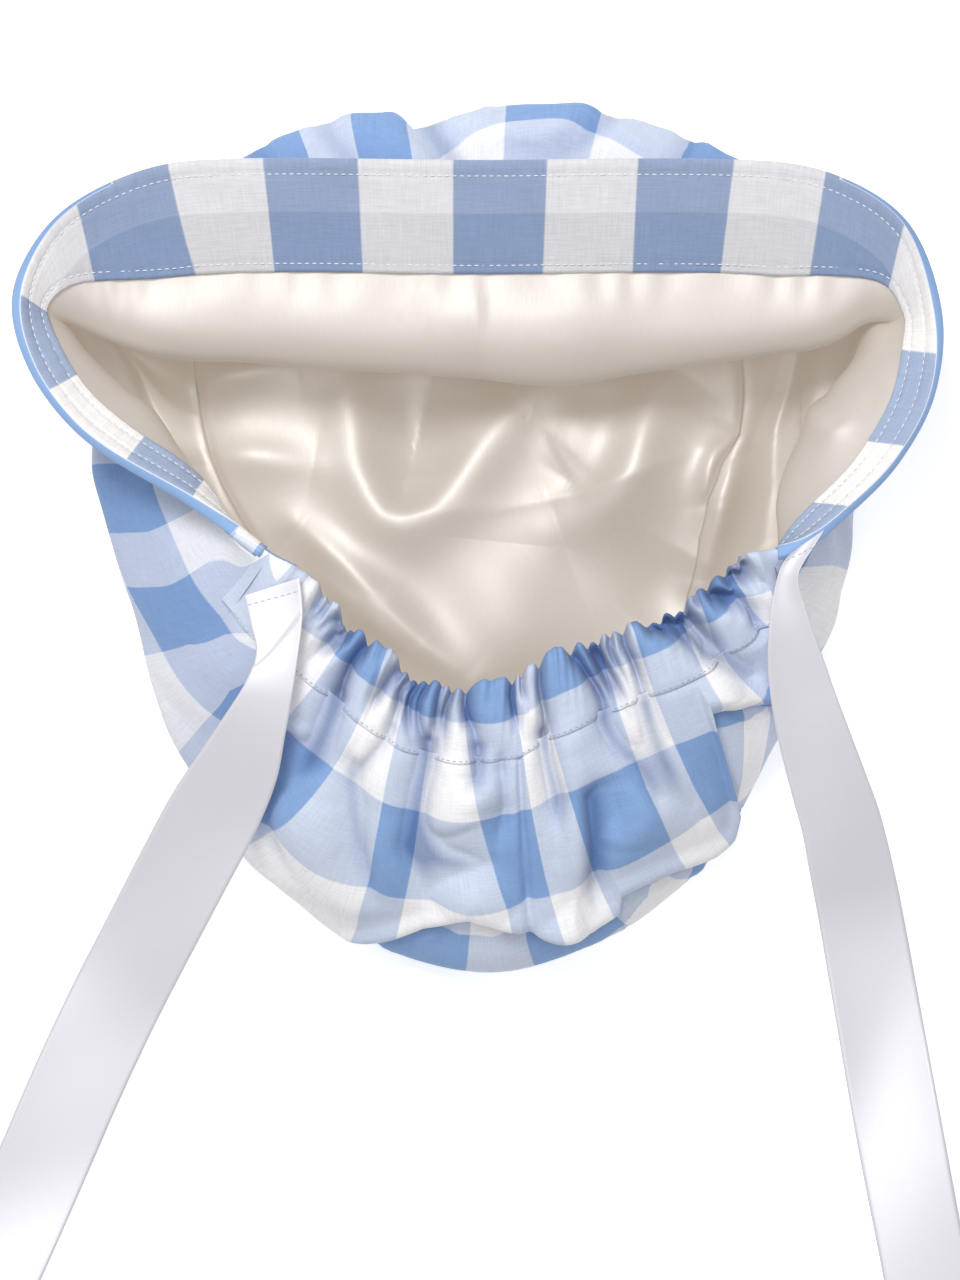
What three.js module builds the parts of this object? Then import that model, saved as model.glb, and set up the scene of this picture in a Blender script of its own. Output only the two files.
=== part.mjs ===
// A gingham scrub cap with a satin lining and two ribbon ties, lying on its crown with the mouth up.
// Millimetres. +Z is up, +Y points to the front of the mouth, +X to the side of the right tie.
// The origin is the middle of the crown's underside, on the surface that the cap lies on.
import * as THREE from 'three';

// Driving dimensions
const STATIONS = 30;         // places counted once round the mouth, from front centre by the left side
const BAND_HEIGHT = 83;      // cloth from the rim to the crown seam
const SEAM_EASE = 14;        // softens the change where a side wall is shorter than the band
const GINGHAM = 1.2;         // thickness of the outer cloth
const SATIN = 1.0;           // thickness of the lining
const HALF_GAP = 0.48;       // each layer's distance to the middle surface of the wall
const HEM_ROLL = 1.8;        // depth of the rolled edge of the hem
const FACING_FRONT = 29;     // width of the turned-in hem at the front
const FACING_SIDE = 10;      // and at the sides, where it runs out
const CASING = { from: 11.15, to: 19.55, width: 20, half: 1.6 };
const GATHERS = 22;
const GATHER_DEPTH = 3.4;
const BILLOWS = 7;           // soft folds that spread down the back from the gathers
const BILLOW_DEPTH = 2.6;
const PIECE_GAP = 0.9;       // between pieces that meet edge to edge, along the cloth
const END_GAP = 0.05;        // and end to end round the rim, in stations
const CORNER = { from: 3, to: 6 }; // stations of the rounded front corners, from front centre
const TURN = 2.2;            // stations beside each end of the casing, where the wall turns over
const FOOT_REACH = 13;       // from the widest line of the crown in to where it meets the surface
const RIBBON = { width: 25, thick: 0.8, clear: 1.1 };
const FLOOR = GINGHAM + HALF_GAP;
const SECTION_STEPS = 120;

const COLOURS = {
  gingham: { color: 0x9db3d8, roughness: 0.85, metalness: 0 },
  casing: { color: 0x8fa9d4, roughness: 0.85, metalness: 0 },
  facing: { color: 0xc4cee4, roughness: 0.85, metalness: 0 },
  satin: { color: 0xe6dfd6, roughness: 0.35, metalness: 0 },
  ribbon: { color: 0xe9e9f2, roughness: 0.4, metalness: 0 },
};

// Lines round the cap, from the mouth down. A row holds station, x, y, z.
const COLUMNS = ['at', 'x', 'y', 'z'];
const RIM = table(COLUMNS, [
  [0, 0, 98, 50], [3, -74, 98, 50], [4, -95, 93, 51], [5, -112.5, 81.5, 52], [6, -121.5, 63, 53],
  [7, -117, 43.5, 53], [8, -103.5, 26.5, 52], [10, -74, 8, 50], [12, -43, -14.5, 48], [13, -28.5, -27.5, 48],
  [14, -12.5, -38, 48], [15, 5.5, -39, 48], [16, 20, -31.5, 48], [18, 53, -16.5, 48], [19, 68.5, -6.5, 49],
  [20, 84.5, -2.5, 50], [21, 97, 7, 51], [22, 109.5, 20, 52], [23, 118.5, 37.5, 53], [24, 120, 58.5, 53],
  [25, 112, 81.5, 52], [26, 93.5, 94, 51], [27, 71.5, 98, 50],
]);
// Where the wall turns back under itself at the front, and the casing's lower edge at the back
const LIP = table(COLUMNS, [
  [0, 0, 46, 36], [3, -70.5, 51, 37], [4, -92, 55, 38], [5, -105, 57.5, 39], [6, -113, 57.5, 40],
  [7, -105, 48, 38], [8, -94, 38, 36], [9, -84, 27, 36], [10, -73.5, 12, 39], [11, -62.5, -9, 42],
  [12, -51, -31, 44], [13, -35.5, -48, 45], [14, -17, -57, 45], [15, 5.5, -58.5, 45], [16, 23, -52, 45],
  [17, 43, -45, 45], [18, 59.5, -36, 44], [19, 74, -20, 42], [20, 80, -5, 39], [21, 80, 10, 36],
  [22, 85, 24, 35], [23, 96, 41, 37], [24, 111, 56, 40], [25, 103.5, 59, 39], [26, 88, 55, 38], [27, 69, 51, 37],
  [28, 46, 47, 36], [29.1, 24, 43.5, 35.5],
]);
const TUCK = table(COLUMNS, [
  [0, 0, 84, 23], [2, -48.5, 82, 22], [4, -84, 73, 21], [5, -100, 66, 21], [6, -110, 57, 25], [7, -106, 45, 22],
  [8, -100, 32, 21], [9, -94, 20, 22], [10, -88, 2, 26], [11, -77, -22, 31], [12, -65, -47, 34],
  [13, -47, -71, 36], [14, -22, -85, 37], [15, 5.5, -88, 37], [16, 31, -83, 37], [17, 53, -69, 36],
  [18, 68, -52, 33], [19, 82, -33, 29], [20, 91, -12, 26], [21, 95, 8, 23], [22, 96, 24, 21], [23, 100, 40, 21],
  [24, 107, 56, 24], [25, 98.5, 67, 20], [26, 84, 74, 20], [28, 43.5, 82, 22],
]);
const GIRTH = table(COLUMNS, [
  [0, 0, 116, 12], [0.8, -20, 110.5, 13], [1.5, -36, 113.5, 12], [2.4, -57, 107, 11], [3.2, -75, 96.5, 11],
  [4, -90, 84, 11], [5, -101, 68, 11], [6, -105, 54, 11], [8, -104.5, 29.5, 12], [9, -103, 16, 13],
  [10, -99, -0.5, 13], [11, -92, -22, 13], [12, -80.5, -52, 12], [13, -59.5, -85.5, 11], [14, -28, -108.5, 11],
  [15, 5.5, -116, 10], [16, 38.5, -104.5, 11], [17, 62, -86, 11], [18, 73, -67, 11], [19, 83, -46.5, 12],
  [20, 94, -24, 13], [21, 98.5, -5.5, 13], [22, 100.5, 13.5, 12], [23, 101, 32.5, 11], [24, 99.5, 53, 11],
  [25, 92.5, 76, 11], [26, 80.5, 95, 11], [27, 64, 105, 11], [28, 43.5, 112, 12], [29, 22, 117, 12],
]);

// Broad folds of the crown lining: a ridge from one end to the other, its height and its width
const FOLDS = table(['x0', 'y0', 'x1', 'y1', 'height', 'width'], [
  [0, 12, 18, 46, 7, 9],
  [45, 44, 44, 8, 7, 10],
  [-31, 40, -27, 8, 6, 9],
  [-60, -8, -18, -36, 5, 9],
  [70, 30, 58, 4, 6, 8],
]);

// The ties' middle lines as they lie. across is the direction of the width in degrees.
const TIE_COLUMNS = ['x', 'y', 'across', 'width'];
const LEFT_TIE = table(TIE_COLUMNS, [
  [-54.5, -14, 18, 16], [-53.5, -24, 8, 15], [-55.5, -36, -4, 17], [-59.5, -48, -14, 21],
  [-65, -60, -22, 25], [-72, -74.5, -25, 25], [-81, -91.5, -27, 25], [-90.5, -109, -28, 25],
  [-100, -127, -27, 25], [-109.5, -147, -25, 25], [-118.5, -167.5, -24, 25], [-127, -187, -24, 25],
  [-134.5, -204, -24, 25], [-142, -221, -24, 25],
]);
const RIGHT_TIE = table(TIE_COLUMNS, [
  [82, -2, -50, 9], [80, -12, -28, 10], [80, -24, -14, 14], [84, -36, 4, 19], [88, -47, 12, 25],
  [94, -63, 15, 25], [99.5, -81, 14, 25], [104, -103, 12, 25], [109, -129, 11, 25],
  [114.5, -160, 11, 25], [118, -179, 11, 25], [121.5, -197, 11, 25], [126, -221, 11, 25],
]);

// Rows of numbers as objects with named fields
function table(names, rows) {
  return rows.map((row) => Object.fromEntries(names.map((name, i) => [name, row[i]])));
}

// Smooth closed line through a table's rows, read at any station
function ringAt(rows, station) {
  const at = ((station % STATIONS) + STATIONS) % STATIONS;
  const last = rows.length - 1;
  let i = last;
  while (i > 0 && rows[i].at > at) i -= 1;
  const knot = (k) => {
    const turn = Math.floor(k / rows.length);
    const row = rows[k - turn * rows.length];
    return { at: row.at + turn * STATIONS, p: new THREE.Vector3(row.x, row.y, row.z) };
  };
  const [before, from, to, after] = [knot(i - 1), knot(i), knot(i + 1), knot(i + 2)];
  const length = to.at - from.at;
  const t = (at - from.at) / length;
  const slopeFrom = to.p.clone().sub(before.p).multiplyScalar(length / (to.at - before.at));
  const slopeTo = after.p.clone().sub(from.p).multiplyScalar(length / (after.at - from.at));
  return from.p.clone().multiplyScalar((1 + 2 * t) * (1 - t) ** 2)
    .addScaledVector(slopeFrom, t * (1 - t) ** 2)
    .addScaledVector(to.p, t * t * (3 - 2 * t))
    .addScaledVector(slopeTo, t * t * (t - 1));
}

// The wall's section at a station: one curve from the rim to the middle of the crown
const sections = new Map();
function sectionAt(station) {
  const key = station.toFixed(4);
  if (!sections.has(key)) {
    const girth = ringAt(GIRTH, station);
    const inward = new THREE.Vector3(-girth.x, -girth.y, 0).normalize();
    const foot = girth.clone().addScaledVector(inward, FOOT_REACH).setZ(FLOOR);
    const sole = foot.clone().multiplyScalar(0.75).setZ(FLOOR);
    const hub = new THREE.Vector3(0, 0, FLOOR);
    const points = [ringAt(RIM, station), ringAt(LIP, station), ringAt(TUCK, station), girth, foot, sole, hub];
    const curve = new THREE.CatmullRomCurve3(points, false, 'centripetal');
    curve.arcLengthDivisions = SECTION_STEPS;
    sections.set(key, curve);
  }
  return sections.get(key);
}

// A point of the wall's middle surface, at a length of cloth down from the rim
function wallPoint(station, down) {
  const curve = sectionAt(station);
  const point = curve.getPointAt(Math.min(Math.max(down / curve.getLength(), 0), 1));
  point.z = Math.max(point.z, FLOOR);
  return point;
}

// The outward direction there, from neighbouring points
function wallNormal(station, down) {
  const length = sectionAt(station).getLength();
  if (down > length - 20) return new THREE.Vector3(0, 0, -1);
  const low = Math.max(down - 2.5, 0);
  const along = wallPoint(station, down + 2.5).sub(wallPoint(station, low));
  const round = wallPoint(station + 0.3, down).sub(wallPoint(station - 0.3, down));
  return along.cross(round).normalize();
}

const smooth = (low, high, value) => THREE.MathUtils.smoothstep(value, low, high);
const casingShare = (station) => (station - CASING.from) / (CASING.to - CASING.from);

// One rounded puff per gather, pinched between, from 0 to 1
function puff(station) {
  const share = casingShare(station);
  if (share <= 0 || share >= 1) return 0;
  return Math.abs(Math.sin(Math.PI * share * GATHERS));
}

// The gathers and the softer folds below them, as a distance outward
function ruffle(station, down) {
  const share = casingShare(station);
  if (share <= 0 || share >= 1) return 0;
  const ends = smooth(0, 0.08, share) * smooth(0, 0.08, 1 - share);
  const gather = puff(station) * GATHER_DEPTH * (1 - smooth(CASING.width, CASING.width + 26, down));
  const swell = 0.5 + 0.5 * Math.cos(2 * Math.PI * share * BILLOWS);
  const billow = swell * BILLOW_DEPTH * smooth(CASING.width, 50, down) * (1 - smooth(62, 82, down));
  return ends * (gather + billow);
}

// Height of the folds of the crown lining over the crown
function foldHeight(x, y) {
  let height = 0;
  for (const fold of FOLDS) {
    const run = new THREE.Vector2(fold.x1 - fold.x0, fold.y1 - fold.y0);
    const to = new THREE.Vector2(x - fold.x0, y - fold.y0);
    const share = THREE.MathUtils.clamp(to.dot(run) / run.lengthSq(), 0, 1);
    const off = to.addScaledVector(run, -share).length();
    height += fold.height * Math.exp(-((off / fold.width) ** 2));
  }
  return height;
}

const steps = (from, to, count) => Array.from({ length: count + 1 }, (_, i) => from + ((to - from) * i) / count);

// A closed solid from a grid of inner and outer points. cell(station, row) gives both.
function clothSolid(stations, rows, cell, { round = false, pole = false } = {}) {
  const points = [];
  const grid = stations.map((station) => Array.from({ length: rows }, (_, row) => {
    const { inner, outer } = cell(station, row);
    points.push(inner, outer);
    return points.length - 2;
  }));
  if (pole) grid.forEach((column) => { column[rows - 1] = grid[0][rows - 1]; });
  const faces = [];
  const quad = (a, b, c, d) => {
    for (const [p, q, r] of [[a, b, c], [a, c, d]]) if (p !== q && q !== r && r !== p) faces.push(p, q, r);
  };
  const spans = round ? stations.length : stations.length - 1;
  for (let i = 0; i < spans; i += 1) {
    const here = grid[i];
    const next = grid[(i + 1) % stations.length];
    for (let j = 0; j + 1 < rows; j += 1) {
      quad(here[j] + 1, here[j + 1] + 1, next[j + 1] + 1, next[j] + 1);
      quad(here[j], next[j], next[j + 1], here[j + 1]);
    }
    quad(here[0], here[0] + 1, next[0] + 1, next[0]);
    const end = rows - 1;
    if (!pole) quad(here[end], next[end], next[end] + 1, here[end] + 1);
  }
  if (!round) {
    const [first, last] = [grid[0], grid[stations.length - 1]];
    for (let j = 0; j + 1 < rows; j += 1) {
      quad(first[j], first[j + 1], first[j + 1] + 1, first[j] + 1);
      quad(last[j], last[j] + 1, last[j + 1] + 1, last[j + 1]);
    }
  }
  const geometry = new THREE.BufferGeometry();
  geometry.setAttribute('position', new THREE.Float32BufferAttribute(points.flatMap((p) => p.toArray()), 3));
  geometry.setIndex(faces);
  geometry.computeVertexNormals();
  return geometry;
}

// Both faces of a layer at a place on the wall
function layer(station, down, innerSide, outerSide) {
  const point = wallPoint(station, down);
  const normal = wallNormal(station, down);
  const at = (offset) => {
    const moved = point.clone().addScaledVector(normal, offset);
    moved.z = Math.max(moved.z, 0);
    return moved;
  };
  return { inner: at(innerSide), outer: at(outerSide) };
}

// Stations shared by the layers, so that their facets run side by side
const sideStations = [
  ...steps(CASING.to + END_GAP, CASING.to + TURN, 5).slice(0, -1),
  ...steps(CASING.to + TURN, STATIONS - CORNER.to, 3).slice(0, -1),
  ...steps(STATIONS - CORNER.to, STATIONS - CORNER.from, 6).slice(0, -1),
  ...steps(STATIONS - CORNER.from, STATIONS, 4).slice(0, -1),
  ...steps(0, CORNER.from, 4).slice(0, -1),
  ...steps(CORNER.from, CORNER.to, 6).slice(0, -1),
  ...steps(CORNER.to, CASING.from - TURN, 4).slice(0, -1),
  ...steps(CASING.from - TURN, CASING.from - END_GAP, 5),
];
const backStations = steps(CASING.from, CASING.to, GATHERS * 2);
const bandStations = [...sideStations, ...backStations];
const plainStations = [...sideStations, ...backStations.filter((_, i) => i % 2 === 0)];

// Lengths of cloth from the rim to the widest line, the foot, the middle of the crown and the crown seam
function marksAt(station) {
  const lengths = sectionAt(station).getLengths();
  const [girth, foot, end] = [3, 4, 6].map((point) => lengths[(SECTION_STEPS * point) / 6]);
  const low = THREE.MathUtils.lerp(girth, foot, 0.35);
  return { girth, foot, end, seam: (BAND_HEIGHT + low - Math.hypot(BAND_HEIGHT - low, SEAM_EASE)) / 2 };
}

// Where every layer of the band has a row, pushed down where a layer starts lower
const BAND_ROWS = 8;
function bandDown(station, top, row) {
  const { seam } = marksAt(station);
  const hem = FACING_FRONT;
  const rest = [0.22, 0.43, 0.61, 0.8, 1].map((share) => THREE.MathUtils.lerp(hem, seam, share));
  return Math.max([0, hem / 2, hem, ...rest][row], top + 1.2 * row);
}

// And the same for the crown: down over the widest line, under to the foot, then in to the middle
function crownDown(station, floorShares) {
  const { girth, foot, end, seam: bandEnd } = marksAt(station);
  const seam = bandEnd + PIECE_GAP;
  const bend = (share) => THREE.MathUtils.lerp(girth, foot, share);
  const rows = [seam, (seam + girth) / 2, girth, bend(0.5), bend(1.1)];
  const down = rows.map((value, row) => Math.max(value, seam + 1.6 * row));
  return [...down, ...floorShares.map((share) => THREE.MathUtils.lerp(down[4], end, share))];
}
const GINGHAM_SIDE = [HALF_GAP, HALF_GAP + GINGHAM];
const SATIN_SIDE = [-HALF_GAP - SATIN, -HALF_GAP];

const inCasing = (station) => station >= CASING.from && station <= CASING.to;

function facingWidth(station) {
  const fromFront = Math.min(station, STATIONS - station);
  return THREE.MathUtils.lerp(FACING_FRONT, FACING_SIDE, smooth(3.2, 6.2, fromFront));
}

function sideBand() {
  return clothSolid(bandStations, BAND_ROWS, (station, row) => {
    const top = inCasing(station) ? CASING.width + PIECE_GAP : HEM_ROLL + PIECE_GAP;
    const down = bandDown(station, top, row);
    const out = ruffle(station, down);
    return layer(station, down, GINGHAM_SIDE[0] + out, GINGHAM_SIDE[1] + out);
  }, { round: true });
}

function crownPanel() {
  return clothSolid(plainStations, 7, (station, row) => (
    layer(station, crownDown(station, [0.4, 1])[row], ...GINGHAM_SIDE)
  ), { round: true, pole: true });
}

function frontFacing() {
  const [under, over] = [-HALF_GAP - GINGHAM, GINGHAM_SIDE[1]];
  return clothSolid(sideStations, 5, (station, row) => {
    const width = facingWidth(station);
    const down = [0, HEM_ROLL - 0.1, HEM_ROLL, width / 2, width][row];
    return layer(station, down, under, row < 2 ? over : -HALF_GAP);
  });
}

function elasticCasing() {
  const stations = steps(CASING.from + END_GAP, CASING.to - END_GAP, GATHERS * 4);
  const rows = [0, 0.15, 0.4, 0.7, 1];
  return clothSolid(stations, rows.length, (station, row) => {
    const half = row === 0 ? CASING.half * 0.6 : CASING.half;
    const down = rows[row] * CASING.width;
    const out = ruffle(station, down);
    const faces = layer(station, down, out - half, out + half);
    if (row > 0) return faces;
    const rise = wallPoint(station, 0).sub(wallPoint(station, 4)).setLength(puff(station) * 2);
    return { inner: faces.inner.add(rise), outer: faces.outer.add(rise) };
  });
}

function bandLining() {
  return clothSolid(bandStations, BAND_ROWS, (station, row) => {
    const top = (inCasing(station) ? CASING.width : facingWidth(station)) + PIECE_GAP;
    return layer(station, bandDown(station, top, row), ...SATIN_SIDE);
  }, { round: true });
}

function crownLining() {
  return clothSolid(plainStations, 10, (station, row) => {
    const down = crownDown(station, [0.18, 0.36, 0.55, 0.77, 1])[row];
    const { inner, outer } = layer(station, down, ...SATIN_SIDE);
    const lift = row > 5 ? foldHeight(inner.x, inner.y) : 0;
    inner.z += lift;
    outer.z += lift;
    return { inner, outer };
  }, { round: true, pole: true });
}

// A tie laid over the cap and down to the surface: it rests on whatever is highest under it
function tie(rows, meshes) {
  const caster = new THREE.Raycaster();
  const down = new THREE.Vector3(0, 0, -1);
  const line = new THREE.CatmullRomCurve3(rows.map((row) => new THREE.Vector3(row.x, row.y, 0)), false, 'centripetal');
  const count = 36;
  const cuts = steps(0, 1, count).map((share) => {
    const place = share * (rows.length - 1);
    const i = Math.min(Math.floor(place), rows.length - 2);
    const mix = (name) => THREE.MathUtils.lerp(rows[i][name], rows[i + 1][name], place - i);
    const angle = THREE.MathUtils.degToRad(mix('across'));
    const across = new THREE.Vector3(Math.cos(angle), Math.sin(angle), 0);
    const middle = line.getPoint(share);
    const heights = [-0.5, -0.25, 0, 0.25, 0.5].map((side) => {
      const over = middle.clone().addScaledVector(across, side * mix('width')).setZ(200);
      caster.set(over, down);
      const hits = caster.intersectObjects(meshes);
      return hits.length ? hits[0].point.z + RIBBON.clear : 0;
    });
    return { middle, across, width: mix('width'), height: Math.max(...heights) };
  });
  // The cloth bridges what lies between two supports, and falls no steeper than it can hang
  const steepest = 2.2;
  const heights = cuts.map((cut) => Math.max(...cuts.map((other) => {
    const apart = cut.middle.distanceTo(other.middle);
    return other.height - steepest * apart - 0.02 * apart * apart;
  }), 0));
  const eased = heights.map((height, i) => {
    const near = [heights[i - 1] ?? height, height, heights[i + 1] ?? height];
    return Math.max(height, (near[0] + near[1] + near[2]) / 3);
  });
  const sides = [-0.5, 0.5];
  return clothSolid(steps(0, count, count), sides.length, (step, row) => {
    const { middle, across, width } = cuts[step];
    const point = middle.clone().addScaledVector(across, -sides[row] * width);
    return {
      inner: point.clone().setZ(eased[step]),
      outer: point.clone().setZ(eased[step] + RIBBON.thick),
    };
  });
}

function piece(name, geometry, finish) {
  const mesh = new THREE.Mesh(geometry, new THREE.MeshStandardMaterial(finish));
  mesh.name = name;
  return mesh;
}

const shell = [
  piece('side_band', sideBand(), COLOURS.gingham),
  piece('crown_panel', crownPanel(), COLOURS.gingham),
  piece('elastic_casing', elasticCasing(), COLOURS.casing),
  piece('front_facing', frontFacing(), COLOURS.facing),
];
const cap = new THREE.Group();
cap.add(
  ...shell,
  piece('band_lining', bandLining(), COLOURS.satin),
  piece('crown_lining', crownLining(), COLOURS.satin),
);
shell.forEach((mesh) => mesh.updateMatrixWorld());
cap.add(
  piece('ribbon_left', tie(LEFT_TIE, shell), COLOURS.ribbon),
  piece('ribbon_right', tie(RIGHT_TIE, shell), COLOURS.ribbon),
);

export default cap;
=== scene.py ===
"""A satin-lined gingham scrub cap lying on its crown, mouth up, with two ribbon ties on the table."""

import logging
import math
from dataclasses import dataclass, field
from enum import Enum

import bpy
import numpy as np
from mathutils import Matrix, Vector
from mathutils.bvhtree import BVHTree


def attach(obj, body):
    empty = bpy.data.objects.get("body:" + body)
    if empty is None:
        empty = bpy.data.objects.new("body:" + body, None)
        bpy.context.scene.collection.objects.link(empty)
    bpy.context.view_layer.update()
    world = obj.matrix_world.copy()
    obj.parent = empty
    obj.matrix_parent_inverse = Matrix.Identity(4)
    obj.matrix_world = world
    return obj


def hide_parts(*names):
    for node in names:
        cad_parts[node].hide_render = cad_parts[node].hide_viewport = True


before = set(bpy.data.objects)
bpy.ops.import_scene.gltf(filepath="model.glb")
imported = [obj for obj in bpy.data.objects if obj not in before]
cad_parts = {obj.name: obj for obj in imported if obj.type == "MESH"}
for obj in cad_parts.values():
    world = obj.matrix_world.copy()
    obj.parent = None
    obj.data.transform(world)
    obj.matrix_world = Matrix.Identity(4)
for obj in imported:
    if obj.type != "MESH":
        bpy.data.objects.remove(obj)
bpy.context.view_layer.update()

LOG = logging.getLogger("scrub_cap")
MM = 0.001
STATIONS = 30.0
CHECK = 25.4
SEED = 11
# Points of a section, counted from the rim: the widest line, the foot and the crown's middle
GIRTH, FOOT, HUB = 3, 4, 6

Colour = tuple[float, float, float, float]
Row = tuple[float, ...]
Path = tuple[tuple[float, float], ...]


class Closure(Enum):
    """How a cloth grid closes round its stations."""

    OPEN = "open"
    ROUND = "round"


class Held(Enum):
    STRETCHED = "stretched"
    GATHERED = "gathered"
    LAID = "laid"
    DRAPED = "draped"


def ease(low: float, high: float, value: np.ndarray) -> np.ndarray:
    """A smooth step from 0 at low to 1 at high."""
    share = np.clip((value - low) / (high - low), 0.0, 1.0)
    return share * share * (3.0 - 2.0 * share)


def bump(centre: float, width: float, value: np.ndarray) -> np.ndarray:
    """A rounded hump of height 1 at centre."""
    return np.exp(-(((value - centre) / width) ** 2))


@dataclass(frozen=True)
class Line:
    """A closed line round the cap. A row holds station, x, y and z in millimetres."""

    rows: tuple[Row, ...]

    def at(self, stations: np.ndarray) -> np.ndarray:
        """Reads the smooth line.

        Args:
            stations: Places round the mouth, counted from front centre by the left side.

        Returns:
            One point per station, in millimetres.
        """
        table = np.array(self.rows, float)
        table = np.concatenate([table[-2:], table, table[:2]])
        table[:2, 0] -= STATIONS
        table[-2:, 0] += STATIONS
        knots, points = table[:, 0], table[:, 1:]
        where = np.mod(stations, STATIONS)
        i = np.clip(np.searchsorted(knots, where, side="right") - 1, 1, len(knots) - 3)
        span = (knots[i + 1] - knots[i])[:, None]
        t = (where - knots[i])[:, None] / span
        low = (points[i + 1] - points[i - 1]) * span / (knots[i + 1] - knots[i - 1])[:, None]
        high = (points[i + 2] - points[i]) * span / (knots[i + 2] - knots[i])[:, None]
        return (
            points[i] * (1 + 2 * t) * (1 - t) ** 2
            + low * t * (1 - t) ** 2
            + points[i + 1] * t * t * (3 - 2 * t)
            + high * t * t * (t - 1)
        )


@dataclass(frozen=True)
class Wrinkles:
    """Fine irregular waves of cloth, as a few crossing sine waves with seeded directions."""

    seed: int
    shortest: float
    longest: float
    count: int = 9

    def height(self, across: np.ndarray, along: np.ndarray) -> np.ndarray:
        """Waves from about -1 to 1.

        Args:
            across: Lengths across the cloth, in millimetres.
            along: Lengths along it.

        Returns:
            The waves' height at each place.
        """
        random = np.random.default_rng(self.seed)
        total = np.zeros(np.broadcast(across, along).shape)
        for _ in range(self.count):
            wave = random.uniform(self.shortest, self.longest)
            heading, phase = random.uniform(0, 2 * math.pi, 2)
            turn = across * math.cos(heading) + along * math.sin(heading)
            total += np.sin(turn * 2 * math.pi / wave + phase)
        return total / math.sqrt(self.count)


def along_path(path: Path, x: np.ndarray, y: np.ndarray) -> tuple[np.ndarray, np.ndarray]:
    """Measures places against a smoothed path.

    Args:
        path: Its points, in millimetres.
        x: First coordinates of the places.
        y: Second coordinates of the places.

    Returns:
        Each place's distance from the path, and how far along it the nearest point is, 0 to 1.
    """
    points = np.array(path, float)
    share = np.linspace(0, len(points) - 1, 7 * (len(points) - 1) + 1)
    smooth = np.stack([np.interp(share, np.arange(len(points)), points[:, k]) for k in (0, 1)], axis=1)
    for _ in range(6):
        smooth[1:-1] = (smooth[:-2] + 2 * smooth[1:-1] + smooth[2:]) / 4
    best = np.full(x.shape, 1e9)
    where = np.zeros(x.shape)
    for k, (start, end) in enumerate(zip(smooth[:-1], smooth[1:])):
        run = end - start
        t = np.clip(((x - start[0]) * run[0] + (y - start[1]) * run[1]) / (run @ run), 0, 1)
        away = (x - start[0] - t * run[0]) ** 2 + (y - start[1] - t * run[1]) ** 2
        nearer = away < best
        best = np.where(nearer, away, best)
        where = np.where(nearer, (k + t) / (len(smooth) - 1), where)
    return np.sqrt(best), where


@dataclass(frozen=True)
class Fold:
    """A soft ridge of cloth along a curve through two or more points, in millimetres.

    Attributes:
        path: The points.
        height: The ridge's height, or a valley's depth below zero.
        width: Distance from the crest to where it has mostly fallen away.
        crest: Radius of a tighter crest, or 0 for a wholly round one.
    """

    path: Path
    height: float
    width: float
    crest: float = 0.0

    def rise(self, x: np.ndarray, y: np.ndarray) -> np.ndarray:
        """The ridge's height at some places.

        Args:
            x: First coordinates of the places.
            y: Second coordinates of the places.

        Returns:
            The heights in millimetres.
        """
        away, where = along_path(self.path, x, y)
        tail = 0.35 + 0.65 * np.sin(np.pi * np.clip(where, 0.02, 0.98))
        if self.crest:
            return self.height * tail * np.exp((self.crest - np.hypot(away, self.crest)) / self.width)
        return self.height * tail * np.exp(-((away / self.width) ** 2))


@dataclass(frozen=True)
class Crease:
    """A sharp valley in gathered cloth, deepest where it starts."""

    depth: float
    width: float
    path: Path

    def rise(self, x: np.ndarray, y: np.ndarray) -> np.ndarray:
        """The crease's height at some places.

        Args:
            x: First coordinates of the places.
            y: Second coordinates of the places.

        Returns:
            The heights, never above zero.
        """
        away, where = along_path(self.path, x, y)
        rounding = 0.3 * self.width
        tail = 1 - 0.85 * ease(0.55, 1.0, where)
        return -1.6 * self.depth * tail * np.exp((rounding - np.hypot(away, rounding)) / self.width)


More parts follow.
